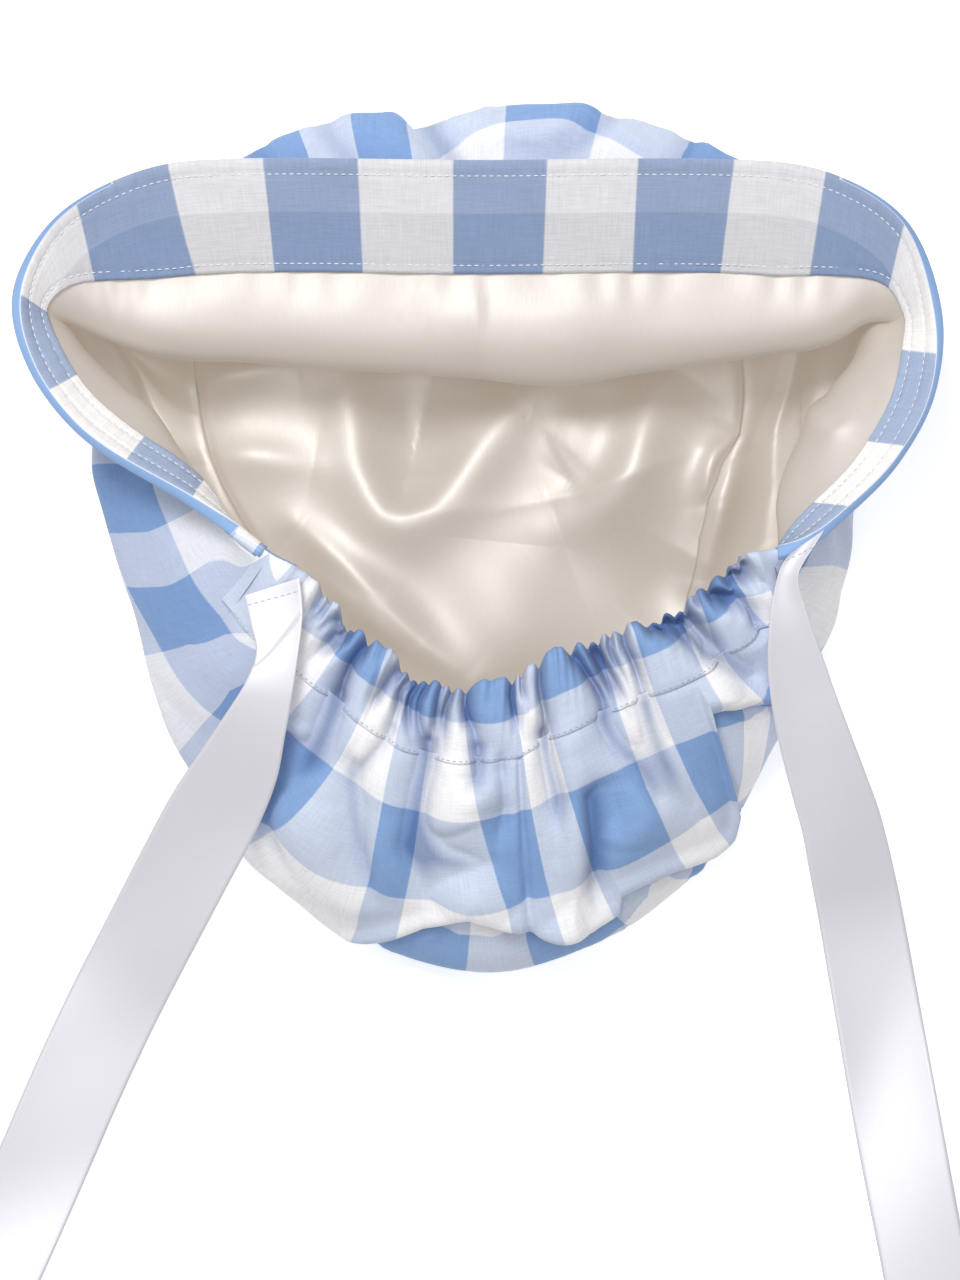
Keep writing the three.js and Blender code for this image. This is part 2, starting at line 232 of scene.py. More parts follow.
@dataclass
class WallForm:
    """The cap's wall: its lines round the mouth, the section between them and its layers."""

    band_height: float = 83.0
    seam_ease: float = 14.0
    outside: float = 1.68
    inside: float = 0.48
    foot_reach: float = 13.0
    sole_share: float = 0.75
    casing_from: float = 11.15
    casing_to: float = 19.55
    casing_width: float = 20.0
    station_length: float = 21.4
    facing_front: float = 29.0
    facing_side: float = 10.0
    steps: int = 240
    rim: Line = Line((
        (0, 0, 98, 50), (3, -74, 98, 50), (4, -95, 93, 51), (5, -112.5, 81.5, 52), (6, -121.5, 63, 53),
        (7, -117, 43.5, 53), (8, -103.5, 26.5, 52), (10, -74, 8, 50), (12, -43, -14.5, 48),
        (13, -28.5, -27.5, 48), (14, -12.5, -38, 48), (15, 5.5, -39, 48), (16, 20, -31.5, 48),
        (18, 53, -16.5, 48), (19, 68.5, -6.5, 49), (20, 84.5, -2.5, 50), (21, 97, 7, 51),
        (22, 109.5, 20, 52), (23, 118.5, 37.5, 53), (24, 120, 58.5, 53), (25, 112, 81.5, 52),
        (26, 93.5, 94, 51), (27, 71.5, 98, 50),
    ))
    lip: Line = Line((
        (0, 0, 46, 36), (3, -70.5, 51, 37), (4, -92, 55, 38), (5, -105, 57.5, 39), (6, -113, 57.5, 40),
        (7, -105, 48, 38), (8, -94, 38, 36), (9, -84, 27, 36), (10, -73.5, 12, 39), (11, -62.5, -9, 42),
        (12, -51, -31, 44), (13, -35.5, -48, 45), (14, -17, -57, 45), (15, 5.5, -58.5, 45),
        (16, 23, -52, 45),
        (17, 43, -45, 45), (18, 59.5, -36, 44), (19, 74, -20, 42), (20, 80, -5, 39), (21, 80, 10, 36),
        (22, 85, 24, 35), (23, 96, 41, 37), (24, 111, 56, 40), (25, 103.5, 59, 39), (26, 88, 55, 38),
        (27, 69, 51, 37), (28, 46, 47, 36), (29.1, 24, 43.5, 35.5),
    ))
    tuck: Line = Line((
        (0, 0, 84, 23), (2, -48.5, 82, 22), (4, -84, 73, 21), (5, -100, 66, 21), (6, -110, 57, 25),
        (7, -106, 45, 22), (8, -100, 32, 21), (9, -94, 20, 22), (10, -88, 2, 26), (11, -77, -22, 31),
        (12, -65, -47, 34), (13, -47, -71, 36), (14, -22, -85, 37), (15, 5.5, -88, 37),
        (16, 31, -83, 37),
        (17, 53, -69, 36), (18, 68, -52, 33), (19, 82, -33, 29), (20, 91, -12, 26), (21, 95, 8, 23),
        (22, 96, 24, 21), (23, 100, 40, 21), (24, 107, 56, 24), (25, 98.5, 67, 20), (26, 84, 74, 20),
        (28, 43.5, 82, 22),
    ))
    girth: Line = Line((
        (0, 0, 116, 12), (0.8, -20, 110.5, 13), (1.5, -36, 113.5, 12), (2.4, -57, 107, 11),
        (3.2, -75, 96.5, 11), (4, -90, 84, 11), (5, -101, 68, 11), (6, -105, 54, 11),
        (8, -104.5, 29.5, 12),
        (9, -103, 16, 13), (10, -99, -0.5, 13), (11, -92, -22, 13), (12, -80.5, -52, 12),
        (13, -59.5, -85.5, 11), (14, -28, -108.5, 11), (15, 5.5, -116, 10), (16, 38.5, -104.5, 11),
        (17, 62, -86, 11), (18, 73, -67, 11), (19, 83, -46.5, 12), (20, 94, -24, 13),
        (21, 98.5, -5.5, 13),
        (22, 100.5, 13.5, 12), (23, 101, 32.5, 11), (24, 99.5, 53, 11), (25, 92.5, 76, 11),
        (26, 80.5, 95, 11),
        (27, 64, 105, 11), (28, 43.5, 112, 12), (29, 22, 117, 12),
    ))

    def casing_share(self, stations: np.ndarray) -> np.ndarray:
        """How far along the casing a station lies, 0 to 1 inside it."""
        return (stations - self.casing_from) / (self.casing_to - self.casing_from)

    def casing_ends(self, stations: np.ndarray) -> np.ndarray:
        """How far the gathers have grown, from 0 at the casing's ends to 1 just inside them."""
        share = self.casing_share(stations)
        return ease(0, 0.05, share) * ease(0, 0.05, 1 - share)

    def facing_width(self, stations: np.ndarray) -> np.ndarray:
        """Width of the turned-in hem at each station."""
        from_front = np.minimum(np.mod(stations, STATIONS), STATIONS - np.mod(stations, STATIONS))
        return self.facing_front + (self.facing_side - self.facing_front) * ease(3.2, 6.2, from_front)

    def sections(self, stations: np.ndarray) -> "Sections":
        """Draws the wall's sections through its lines, its foot and its middle.

        Args:
            stations: Places round the mouth.

        Returns:
            One smooth curve per station, from the rim to the crown's middle.
        """
        girth = self.girth.at(stations)
        inward = -girth[:, :2] / np.linalg.norm(girth[:, :2], axis=1)[:, None]
        level = np.full(len(girth), self.outside)
        foot = np.column_stack([girth[:, :2] + inward * self.foot_reach, level])
        sole = foot * (self.sole_share, self.sole_share, 1.0)
        hub = np.tile((0.0, 0.0, self.outside), (len(girth), 1))
        rim, lip, tuck = (line.at(stations) for line in (self.rim, self.lip, self.tuck))
        points = np.stack([rim, lip, tuck, girth, foot, sole, hub], axis=1)
        before, after = 2 * points[:, :1] - points[:, 1:2], 2 * points[:, -1:] - points[:, -2:-1]
        points = np.concatenate([before, points, after], axis=1)
        spans = points.shape[1] - 3
        place = np.linspace(0, spans, self.steps + 1)
        cell = np.minimum(place.astype(int), spans - 1)
        w = (place - cell)[None, :, None]
        p0, p1, p2, p3 = (points[:, cell + k] for k in range(4))
        pairs = ((p0, p1), (p1, p2), (p2, p3))
        knot = [np.sqrt(np.linalg.norm(b - a, axis=2))[..., None] for a, b in pairs]
        low = ((p1 - p0) / knot[0] - (p2 - p0) / (knot[0] + knot[1]) + (p2 - p1) / knot[1]) * knot[1]
        high = ((p2 - p1) / knot[1] - (p3 - p1) / (knot[1] + knot[2]) + (p3 - p2) / knot[2]) * knot[1]
        curve = (p1 + low * w + (3 * (p2 - p1) - 2 * low - high) * w**2
                 + (2 * (p1 - p2) + low + high) * w**3)
        return Sections(self, stations, curve)

    def seam_shift(self, stations: np.ndarray) -> np.ndarray:
        """How far the crown seam wanders from its even line."""
        table = np.array(SEAM_WANDER)
        return np.interp(stations, table[:, 0], table[:, 1])

    def creases(self, stations: np.ndarray, down: np.ndarray) -> np.ndarray:
        """How far the creases at the back sink, in millimetres, never above zero."""
        return sum(crease.rise(stations * self.station_length, down) for crease in BAND_CREASES)

    def crease_shade(self, stations: np.ndarray, down: np.ndarray) -> np.ndarray:
        """Painted shade that darkens the cloth's colour in the creases.

        Args:
            stations: Stations, as a column.
            down: Lengths of cloth from the rim, a row per station.

        Returns:
            Painted shades from 0 to 1.
        """
        shallow, span = 3.0, 5.5
        depth = -self.creases(stations, down)
        return np.clip((depth - shallow) / span, 0, 1) * self.casing_ends(stations)

    def ruffle(self, stations: np.ndarray, down: np.ndarray) -> np.ndarray:
        """How far the gathers and the soft folds under them stand out.

        Args:
            stations: Stations, as a column.
            down: Lengths of cloth from the rim, a row per station.

        Returns:
            Distances outward in millimetres.
        """
        share = self.casing_share(stations)
        inside = (share > 0) & (share < 1)
        ends = self.casing_ends(stations)
        x = stations * self.station_length
        creases = self.creases(stations, down)
        held = 1 - 0.22 * bump(self.casing_width, 1.4, down) - 0.20 * bump(0, 1.6, down)
        swell = 3.2 * (1 - ease(self.casing_width, self.casing_width + 30, down))
        crimp = 0.22 * np.sin(x * 1.9 + down * 0.25 + np.sin(x * 0.31) * 2) * (1 - ease(0, 24, down))
        folds = sum(fold.rise(x, down) for fold in BAND_FOLDS) * ease(4, 24, down)
        return np.where(inside, ends * (creases * held + swell * held + crimp + folds), 0.0)


# How far the crown seam wanders: station, millimetres of cloth
SEAM_WANDER = (
    (11.8, 0.0), (12.4, 7.0), (13.2, 12.0), (13.75, 11.0), (14.0, 3.0), (14.35, -7.0),
    (14.7, -12.5), (15.0, -9.5), (15.25, -6.5), (15.5, -3.0), (15.75, 0.0), (16.0, -1.0),
    (16.07, -7.0), (16.5, -5.0), (17.0, 1.0),
    (17.3, 2.0), (17.5, -4.0), (17.62, -20.0), (17.72, -36.0), (17.8, -42.0), (17.96, -40.0),
    (18.28, -32.0),
    (18.52, -24.0), (18.9, -12.0), (19.3, 0.0),
)


def round_mouth(path: list[tuple[float, float]]) -> Path:
    """A path of stations and lengths from the rim, with its stations turned into millimetres."""
    return tuple((station * WallForm.station_length, down) for station, down in path)


def station_folds(*rows: tuple) -> tuple[Fold, ...]:
    """Folds from rows of height, width and points, each a station and a length from the rim."""
    return tuple(Fold(round_mouth(path), height, width) for height, width, *path in rows)


def station_creases(*rows: tuple) -> tuple[Crease, ...]:
    """Creases from rows of depth, width and points, each a station and a length from the rim."""
    return tuple(Crease(depth, width, round_mouth(path)) for depth, width, *path in rows)


BAND_FOLDS = station_folds(
    (7.0, 7.0, (15.94, 25.5), (15.92, 38.2), (15.92, 49.5), (15.84, 59.2), (15.68, 73.5)),
    (-4.0, 5.0, (16.36, 39.8), (16.26, 46.5), (16.1, 51.8)),
    (7.0, 8.5, (13.02, 44.2), (13.22, 54), (13.48, 64.5), (13.84, 73.5)),
    (6.0, 7.5, (12.5, 50), (12.8, 64), (13.1, 76)),
    (4.0, 6.0, (13.92, 37.5), (13.92, 50.2), (13.94, 64.5)),
    (4.5, 7.0, (14.46, 24), (14.44, 36), (14.52, 39.8)),
    (5.5, 5.5, (14.46, 63), (14.74, 57), (15.08, 63.8)),
    (5.5, 5.5, (15.4, 66.8), (15.56, 71.2), (15.72, 71.2)),
    (4.5, 9.0, (16.56, 38.2), (16.52, 49.5), (16.34, 57.8)),
    (3.5, 6.0, (13.22, 28.5), (13.56, 30)),
    (3.5, 6.0, (14.82, 23.2), (14.84, 33.8)),
    (4.0, 6.0, (12.5, 30), (12.56, 36)),
    (3.0, 5.0, (18.08, 18), (18.16, 24.8), (18.12, 30)),
    (3.0, 4.0, (18.6, 4.5), (18.86, 7.5), (19.06, 10.5)),
)
BAND_CREASES = station_creases(
    (3.0, 1.2, (12.1, -2), (12.1, 3), (11.98, 7.5)),
    (3.0, 1.2, (12.24, -2), (12.2, 3.8), (12, 9.8)),
    (4.0, 1.4, (12.5, -2), (12.5, 0), (12.38, 3.8), (12.12, 11.2)),
    (4.5, 1.5, (12.6, -2), (12.56, 2.2), (12.38, 9.8), (12.28, 18)),
    (3.5, 1.3, (12.72, -2), (12.64, 3), (12.5, 9), (12.38, 14.2)),
    (5.5, 1.8, (12.96, -2), (12.94, 0.8), (12.8, 9.8), (12.78, 15.8), (12.82, 22)),
    (2.0, 1.6, (13.2, -2), (13.2, 0.8), (13.16, 6)),
    (4.8, 1.7, (13.56, -2), (13.4, 6), (13.28, 12.8), (13.28, 19)),
    (4.2, 1.5, (13.7, -2), (13.58, 6.8), (13.62, 10.5), (13.62, 19)),
    (4.8, 1.6, (13.82, -2), (13.74, 6.8), (13.76, 11.2), (13.94, 18)),
    (3.8, 1.4, (13.98, -2), (13.88, 6), (13.92, 11.2), (14.14, 19)),
    (3.2, 1.3, (14.16, -2), (14.12, 4.5), (14.18, 11.2), (14.22, 17.5)),
    (4.6, 1.6, (14.32, -2), (14.26, 5.2), (14.26, 10.5), (14.32, 17)),
    (5.2, 1.8, (14.5, -2), (14.5, 3.8), (14.54, 8.2), (14.66, 12), (14.72, 20)),
    (1.4, 2.4, (14.86, -2), (14.9, 8)),
    (4.4, 1.5, (15.22, -2), (15.16, 3.8), (15.22, 9.8), (15.32, 17)),
    (3.2, 1.2, (15.42, -2), (15.34, 2.2), (15.46, 9)),
    (4.4, 1.5, (15.72, -2), (15.66, 6), (15.74, 14.2), (15.66, 21)),
    (5.2, 1.6, (16.2, -2), (16.3, 3), (16.48, 12), (16.54, 17.2), (16.48, 24)),
    (4.6, 1.5, (16.48, -2), (16.58, 5.2), (16.68, 13.5), (16.64, 20)),
    (4.6, 1.5, (16.7, -2), (16.64, 2.2), (16.68, 8.2), (16.78, 15.8), (16.82, 23)),
    (3.6, 1.3, (16.9, -2), (16.8, 3.8), (16.84, 9), (16.92, 17)),
    (5.2, 1.8, (17.06, -2), (17.02, 4.5), (17.08, 10.5), (17.08, 16.5), (17.04, 25)),
    (5.6, 1.8, (17.28, -2), (17.5, 1), (17.62, 4), (17.76, 10.5)),
    (5.4, 1.8, (17.56, -2), (17.7, 2), (17.86, 8.2), (17.98, 16.5)),
    (5.0, 1.7, (17.84, -2), (17.88, 3.8), (18.0, 9), (18.16, 18)),
    (6.6, 2.2, (18.02, -2), (18.0, 2.2), (18.04, 5.2), (18.16, 12), (18.28, 17.2), (18.4, 23.5)),
    (3.0, 1.2, (18.24, -2), (18.2, 1.5), (18.24, 5)),
    (5.8, 1.9, (18.42, -2), (18.42, 2.2), (18.62, 7.5), (18.68, 11)),
    (6.2, 1.9, (18.64, -2), (18.84, 2.2), (19.0, 5.2), (19.16, 7.5)),
    (3.5, 1.6, (18.9, -2), (19.02, 1.5), (19.18, 6.8)),
    (4.0, 2.4, (18.72, 8), (18.9, 13.5), (18.86, 19.5), (18.88, 23.2)),
    (3.5, 3.2, (18.16, 17), (18.34, 23.2), (18.48, 29.2), (18.62, 34.5)),
    (5.0, 3.0, (12.8, 19), (12.84, 28.5), (12.86, 37.5), (12.8, 48)),
    (2.8, 2.2, (13.62, 17), (13.58, 21.8), (13.42, 30), (13.22, 37.5)),
    (5.0, 3.0, (14.14, 17), (14.16, 23.2), (14.12, 30), (14.12, 37.5), (14.2, 46.5), (14.34, 54.8),
     (14.4, 64)),
    (3.4, 2.2, (14.72, 17), (14.74, 24), (14.62, 28.5)),
    (4.8, 2.6, (15.66, 18.5), (15.66, 26.2), (15.7, 34.5), (15.68, 40), (15.6, 50)),
    (5.2, 3.2, (16.12, 40), (16.06, 46), (15.96, 55.5), (15.84, 66.8), (15.8, 78)),
    (3.8, 2.6, (16.48, 21), (16.54, 28.5), (16.74, 36.8), (16.78, 45), (16.7, 53.2)),
    (4.2, 2.8, (17.04, 22), (17.0, 31.5), (17.0, 38.2), (17.02, 47.2), (17.08, 60)),
    (3.4, 2.6, (14.16, 45), (14.48, 48.8), (14.9, 48.8)),
    (3.2, 3.0, (13.3, 32), (13.5, 44), (13.8, 58), (14.05, 72)),
    (3.2, 3.2, (12.5, 36), (12.72, 54), (13.1, 68), (13.4, 80)),
    (2.6, 2.6, (15.0, 20), (15.05, 34), (14.95, 46)),
)


@dataclass
class Sections:
    """The wall's sections at some stations, read by the length of cloth from the rim."""

    form: WallForm
    stations: np.ndarray
    curve: np.ndarray
    length: np.ndarray = field(init=False)

    def __post_init__(self) -> None:
        """Measures the curves."""
        run = np.linalg.norm(np.diff(self.curve, axis=1), axis=2)
        self.length = np.concatenate([np.zeros((len(run), 1)), np.cumsum(run, axis=1)], axis=1)

    def mark(self, point: int) -> np.ndarray:
        """Length of cloth from the rim to one of the section's seven points."""
        return self.length[:, self.form.steps * point // HUB]

    @property
    def seam(self) -> np.ndarray:
        """Length of cloth from the rim to the crown seam.

        Returns:
            One length per station.
        """
        height, girth = self.form.band_height, self.mark(GIRTH)
        under_girth = 0.35
        low = girth + (self.mark(FOOT) - girth) * under_girth
        even = (height + low - np.hypot(height - low, self.form.seam_ease)) / 2
        return even + self.form.seam_shift(self.stations)

    def points(self, down: np.ndarray) -> np.ndarray:
        """Points of the middle surface.

        Args:
            down: Lengths of cloth from the rim, a row per station.

        Returns:
            The points in millimetres.
        """
        out = np.empty((*down.shape, 3))
        for i, lengths in enumerate(self.length):
            for axis in range(3):
                out[i, :, axis] = np.interp(down[i], lengths, self.curve[i, :, axis])
        out[..., 2] = np.maximum(out[..., 2], self.form.outside)
        return out

    def normals(self, down: np.ndarray) -> np.ndarray:
        """Outward directions of the middle surface.

        Args:
            down: Lengths of cloth from the rim, a row per station.

        Returns:
            Unit vectors, which point straight down in the crown's flat.
        """
        reach, turn = 2.0, 0.2
        along = self.points(down + reach) - self.points(np.maximum(down - reach, 0))
        later, sooner = (self.form.sections(self.stations + side * turn) for side in (1, -1))
        across = later.points(down) - sooner.points(down)
        normal = np.cross(along, across)
        normal /= np.maximum(np.linalg.norm(normal, axis=2), 1e-9)[..., None]
        hub, flat_from, flat_at = self.mark(HUB)[:, None], 30, 20
        flat = ease(hub - flat_from, hub - flat_at, down)[..., None]
        normal = normal * (1 - flat) + np.array((0.0, 0.0, -1.0)) * flat
        return normal / np.linalg.norm(normal, axis=2)[..., None]

    def rise(self) -> np.ndarray:
        """Directions along the cloth up to the rim.

        Returns:
            One unit vector per station, as a column.
        """
        rim, reach = np.zeros((len(self.stations), 1)), 4.0
        rise = self.points(rim) - self.points(rim + reach)
        return rise / np.linalg.norm(rise, axis=2)[..., None]


@dataclass
class Cloth:
    """A grid of cloth with two faces, made into one closed mesh.

    Attributes:
        name: The piece's name.
        inner: Grid of points of the inner face, in millimetres.
        outer: The same for the outer face.
        weave: Grid of cloth coordinates, in checks along and down.
        closure: Whether the grid closes round.
        pole: Whether the last row is one point.
        period: What the first coordinate grows by once round.
        other: A second grid of cloth coordinates, for a piece cut on another grain.
        chosen: Where the second grid holds.
        second_finish: The faces of the outer side that wear the piece's second material.
        shade: Painted shade that darkens the cloth's colour in its creases, 0 to 1, or below zero where
            painted light makes it paler.
    """

    name: str
    inner: np.ndarray
    outer: np.ndarray
    weave: np.ndarray
    closure: Closure = Closure.OPEN
    pole: bool = False
    period: float = 0.0
    other: np.ndarray | None = None
    chosen: np.ndarray | None = None
    second_finish: np.ndarray | None = None
    shade: np.ndarray | None = None

    def cells(self, grid: np.ndarray) -> np.ndarray:
        """Values at the four corners of every cell.

        Args:
            grid: Values by column and row.

        Returns:
            The values by cell and corner.
        """
        following = np.roll(grid, -1, axis=0)
        cells = np.stack([grid[:, :-1], grid[:, 1:], following[:, 1:], following[:, :-1]], axis=2)
        return cells if self.closure is Closure.ROUND else cells[:-1]

    def cloth_corners(self) -> np.ndarray:
        """The cloth coordinates at the corners of every cell.

        Returns:
            The coordinates by cell and corner.
        """
        corner = self.cells(self.weave)
        if self.closure is Closure.ROUND:
            corner[-1, :, 2:, 0] += self.period
        if self.other is not None:
            chosen = self.chosen[: len(corner), :-1, None, None]
            corner = np.where(chosen, self.cells(self.other), corner)
        return corner

    def build(self) -> bpy.types.Object:
        """Makes the object, with its cloth coordinates as a UV map.

        Returns:
            The object.
        """
        columns, rows = self.inner.shape[:2]
        total = columns * rows
        index = np.arange(total).reshape(columns, rows)
        if self.pole:
            index[:, -1] = index[0, -1]
        face, corner = self.cells(index).reshape(-1, 4), self.cloth_corners()
        spans, weave = len(corner), self.weave
        corner = corner.reshape(-1, 4, 2)
        faces = [face + total, face[:, ::-1]]
        corners = [corner, corner[:, ::-1]]
        here = np.arange(spans)
        there = (here + 1) % columns
        edges = [(index[here, 0], index[there, 0], weave[here, 0])]
        if not self.pole:
            edges.append((index[there, -1], index[here, -1], weave[here, -1]))
        if self.closure is Closure.OPEN:
            edges.append((index[0, 1:], index[0, :-1], weave[0, 1:]))
            edges.append((index[-1, :-1], index[-1, 1:], weave[-1, :-1]))
        for first, second, at in edges:
            faces.append(np.stack([first, first + total, second + total, second], axis=1))
            corners.append(np.repeat(at[:, None, :], 4, axis=1))
        points = np.concatenate([self.inner.reshape(-1, 3), self.outer.reshape(-1, 3)]) * MM
        shade = np.zeros(total) if self.shade is None else self.shade.ravel()
        piece = mesh_object(
            self.name, points, np.concatenate(faces), np.concatenate(corners), np.tile(shade, 2))
        if self.second_finish is not None:
            cells_worn = np.broadcast_to(self.second_finish, (spans, rows - 1)).ravel().astype(np.int32)
            worn = np.zeros(len(piece.data.polygons), np.int32)
            worn[: len(cells_worn)] = cells_worn
            piece.data.polygons.foreach_set("material_index", worn)
        return piece


def mesh_object(
    name: str, points: np.ndarray, faces: np.ndarray, corners: np.ndarray, shade: np.ndarray
) -> bpy.types.Object:
    """Makes a smooth-shaded mesh object from arrays.

    Args:
        name: The object's name.
        points: Vertices in metres.
        faces: Quads, where a repeated index makes a triangle.
        corners: The cloth coordinates of each face's corners.
        shade: The painted shade of each vertex.

    Returns:
        The object, linked to the scene.
    """
    keep = np.ones(faces.shape, bool)
    for k in range(4):
        keep[:, k] = faces[:, k] != faces[:, k - 1]
    sizes = keep.sum(axis=1)
    solid = sizes > 2
    keep &= solid[:, None]
    used = np.unique(faces[keep])
    renumber = np.zeros(len(points), int)
    renumber[used] = np.arange(len(used))
    mesh = bpy.data.meshes.new(name)
    mesh.vertices.add(len(used))
    mesh.vertices.foreach_set("co", points[used].ravel())
    loops = renumber[faces[keep]]
    sizes = sizes[solid]
    mesh.loops.add(len(loops))
    mesh.loops.foreach_set("vertex_index", loops)
    mesh.polygons.add(len(sizes))
    mesh.polygons.foreach_set("loop_start", np.concatenate([[0], np.cumsum(sizes)[:-1]]))
    mesh.polygons.foreach_set("use_smooth", np.ones(len(sizes), bool))
    mesh.update(calc_edges=True)
    mesh.uv_layers.new(name="cloth").data.foreach_set("uv", corners[keep].ravel())
    # The painted light and shade, kept on each vertex for the check material to read
    shades = mesh.attributes.new("shade", "FLOAT", "POINT")
    shades.data.foreach_set("value", shade[used].astype(np.float32))
    mesh.validate()
    piece = bpy.data.objects.new(name, mesh)
    bpy.context.scene.collection.objects.link(piece)
    return piece


class Nodes:
    """A small hand for wiring a material's or a group's nodes."""

    def __init__(self, tree: bpy.types.NodeTree) -> None:
        """Keeps the tree."""
        self.tree = tree

    def add(self, kind: str, inputs: dict | None = None, **settings: object) -> bpy.types.Node:
        """Adds a node.

        Args:
            kind: The node's type name, without its ShaderNode prefix.
            inputs: Values or sockets for its inputs, by name or number.
            settings: The node's own properties.

        Returns:
            The node.
        """
        node = self.tree.nodes.new(kind if kind.startswith("NodeGroup") else "ShaderNode" + kind)
        for name, value in settings.items():
            setattr(node, name, value)
        for name, value in (inputs or {}).items():
            self.feed(node.inputs[name], value)
        return node

    def feed(self, socket: bpy.types.NodeSocket, value: object) -> None:
        """Links a socket to an input, or sets the input's value.

        Args:
            socket: The input.
            value: A socket to link from, or a plain value.
        """
        if isinstance(value, bpy.types.NodeSocket):
            self.tree.links.new(value, socket)
        else:
            socket.default_value = value

    def math(self, operation: str, *values: object, clamp: bool = False) -> bpy.types.NodeSocket:
        """One Math node's result."""
        node = self.add("Math", dict(enumerate(values)), operation=operation, use_clamp=clamp)
        return node.outputs[0]

    def mix(self, share: object, low: object, high: object, blend: str = "MIX") -> bpy.types.NodeSocket:
        """A mix of two colours."""
        node = self.add("Mix", {0: share, 6: low, 7: high}, data_type="RGBA", blend_type=blend)
        return node.outputs[2]

    def noise(self, vector: object, scale: float, detail: float = 2.0) -> bpy.types.NodeSocket:
        """Noise from 0 to 1."""
        return self.add("TexNoise", {"Vector": vector, "Scale": scale, "Detail": detail}).outputs[0]

    def stretch(self, vector: object, scale: tuple[float, float, float]) -> bpy.types.NodeSocket:
        """Coordinates stretched along their axes."""
        return self.add("Mapping", {"Vector": vector, "Scale": scale}).outputs[0]


def make_group(
    name: str, inputs: dict[str, str], outputs: dict[str, str]
) -> tuple[Nodes, object, object]:
    """Starts a shader node group.

    Args:
        name: The group's name.
        inputs: Its input names and their kinds, such as Color.
        outputs: Its output names and their kinds.

    Returns:
        The wiring hand, the group's input sockets and its output sockets.
    """
    tree = bpy.data.node_groups.new(name, "ShaderNodeTree")
    for words, way in ((inputs, "INPUT"), (outputs, "OUTPUT")):
        for socket, kind in words.items():
            tree.interface.new_socket(socket, in_out=way, socket_type="NodeSocket" + kind)
    nodes = Nodes(tree)
    return nodes, nodes.add("NodeGroupInput").outputs, nodes.add("NodeGroupOutput").inputs


def gingham_group() -> bpy.types.NodeTree:
    """Two-colour checks with slubby yarns, from cloth coordinates counted in checks, darkened by painted
    shade.

    Returns:
        The node group.
    """
    colours = ("White", "Warp Blue", "Weft Blue", "Both Blue")
    nodes, given, out = make_group(
        "Gingham Checks", {"Cloth": "Vector", "Shade": "Float", **{name: "Color" for name in colours}},
        {"Color": "Color", "Height": "Float"},
    )
    ragged = nodes.math("MULTIPLY_ADD", nodes.noise(given["Cloth"], 90.0, 1.0), 0.016, -0.008)
    axes = nodes.add("SeparateXYZ", {0: given["Cloth"]}).outputs
    stripe = []
    for axis in (axes[0], axes[1]):
        wave = nodes.math("SINE", nodes.math("MULTIPLY", nodes.math("ADD", axis, ragged), math.pi))
        stripe.append(nodes.math("MULTIPLY_ADD", wave, -16.0, 0.5, clamp=True))
    plain = nodes.mix(stripe[0], given["White"], given["Warp Blue"])
    crossed = nodes.mix(stripe[0], given["Weft Blue"], given["Both Blue"])
    colour = nodes.mix(stripe[1], plain, crossed)
    warp = nodes.noise(nodes.stretch(given["Cloth"], (55, 3.2, 1)), 1.0, 3.0)
    weft = nodes.noise(nodes.stretch(given["Cloth"], (3.2, 55, 1)), 1.0, 3.0)
    yarn = nodes.math("ADD", warp, weft)
    fine = nodes.noise(nodes.stretch(given["Cloth"], (120, 120, 1)), 1.0, 1.0)
    grain = nodes.math("MULTIPLY_ADD", nodes.math("ADD", yarn, fine), 0.26, 0.61)
    grey = nodes.add("CombineColor", {0: grain, 1: grain, 2: grain}).outputs[0]
    woven = nodes.mix(1.0, colour, grey, "MULTIPLY")
    # Painted shade: the Shade input darkens the colour, red most, so shaded creases turn bluish; below
    # zero it paints the cloth paler
    painted_shade_scale = [nodes.math("MULTIPLY_ADD", given["Shade"], -depth, 1.0) for depth in (0.58, 0.52, 0.38)]
    painted_shade_colour = nodes.add("CombineColor", dict(enumerate(painted_shade_scale))).outputs[0]
    nodes.feed(out["Color"], nodes.mix(1.0, woven, painted_shade_colour, "MULTIPLY"))
    nodes.feed(out["Height"], nodes.math("ADD", yarn, fine))
    return nodes.tree


def satin_group() -> bpy.types.NodeTree:
    """The long fine floats of a satin weave, from cloth coordinates counted in checks.

    Returns:
        The node group.
    """
    nodes, given, out = make_group(
        "Satin Floats", {"Cloth": "Vector", "Light": "Color", "Deep": "Color"},
        {"Color": "Color", "Roughness": "Float", "Height": "Float"},
    )
    floats = nodes.noise(nodes.stretch(given["Cloth"], (70, 6, 1)), 1.0, 3.0)
    cloud = nodes.noise(given["Cloth"], 0.9, 2.0)
    share = nodes.math("MULTIPLY_ADD", floats, 0.5, nodes.math("MULTIPLY", cloud, 0.5))
    nodes.feed(out["Color"], nodes.mix(share, given["Light"], given["Deep"]))
    nodes.feed(out["Roughness"], nodes.math("MULTIPLY_ADD", floats, 0.10, 0.43))
    nodes.feed(out["Height"], floats)
    return nodes.tree


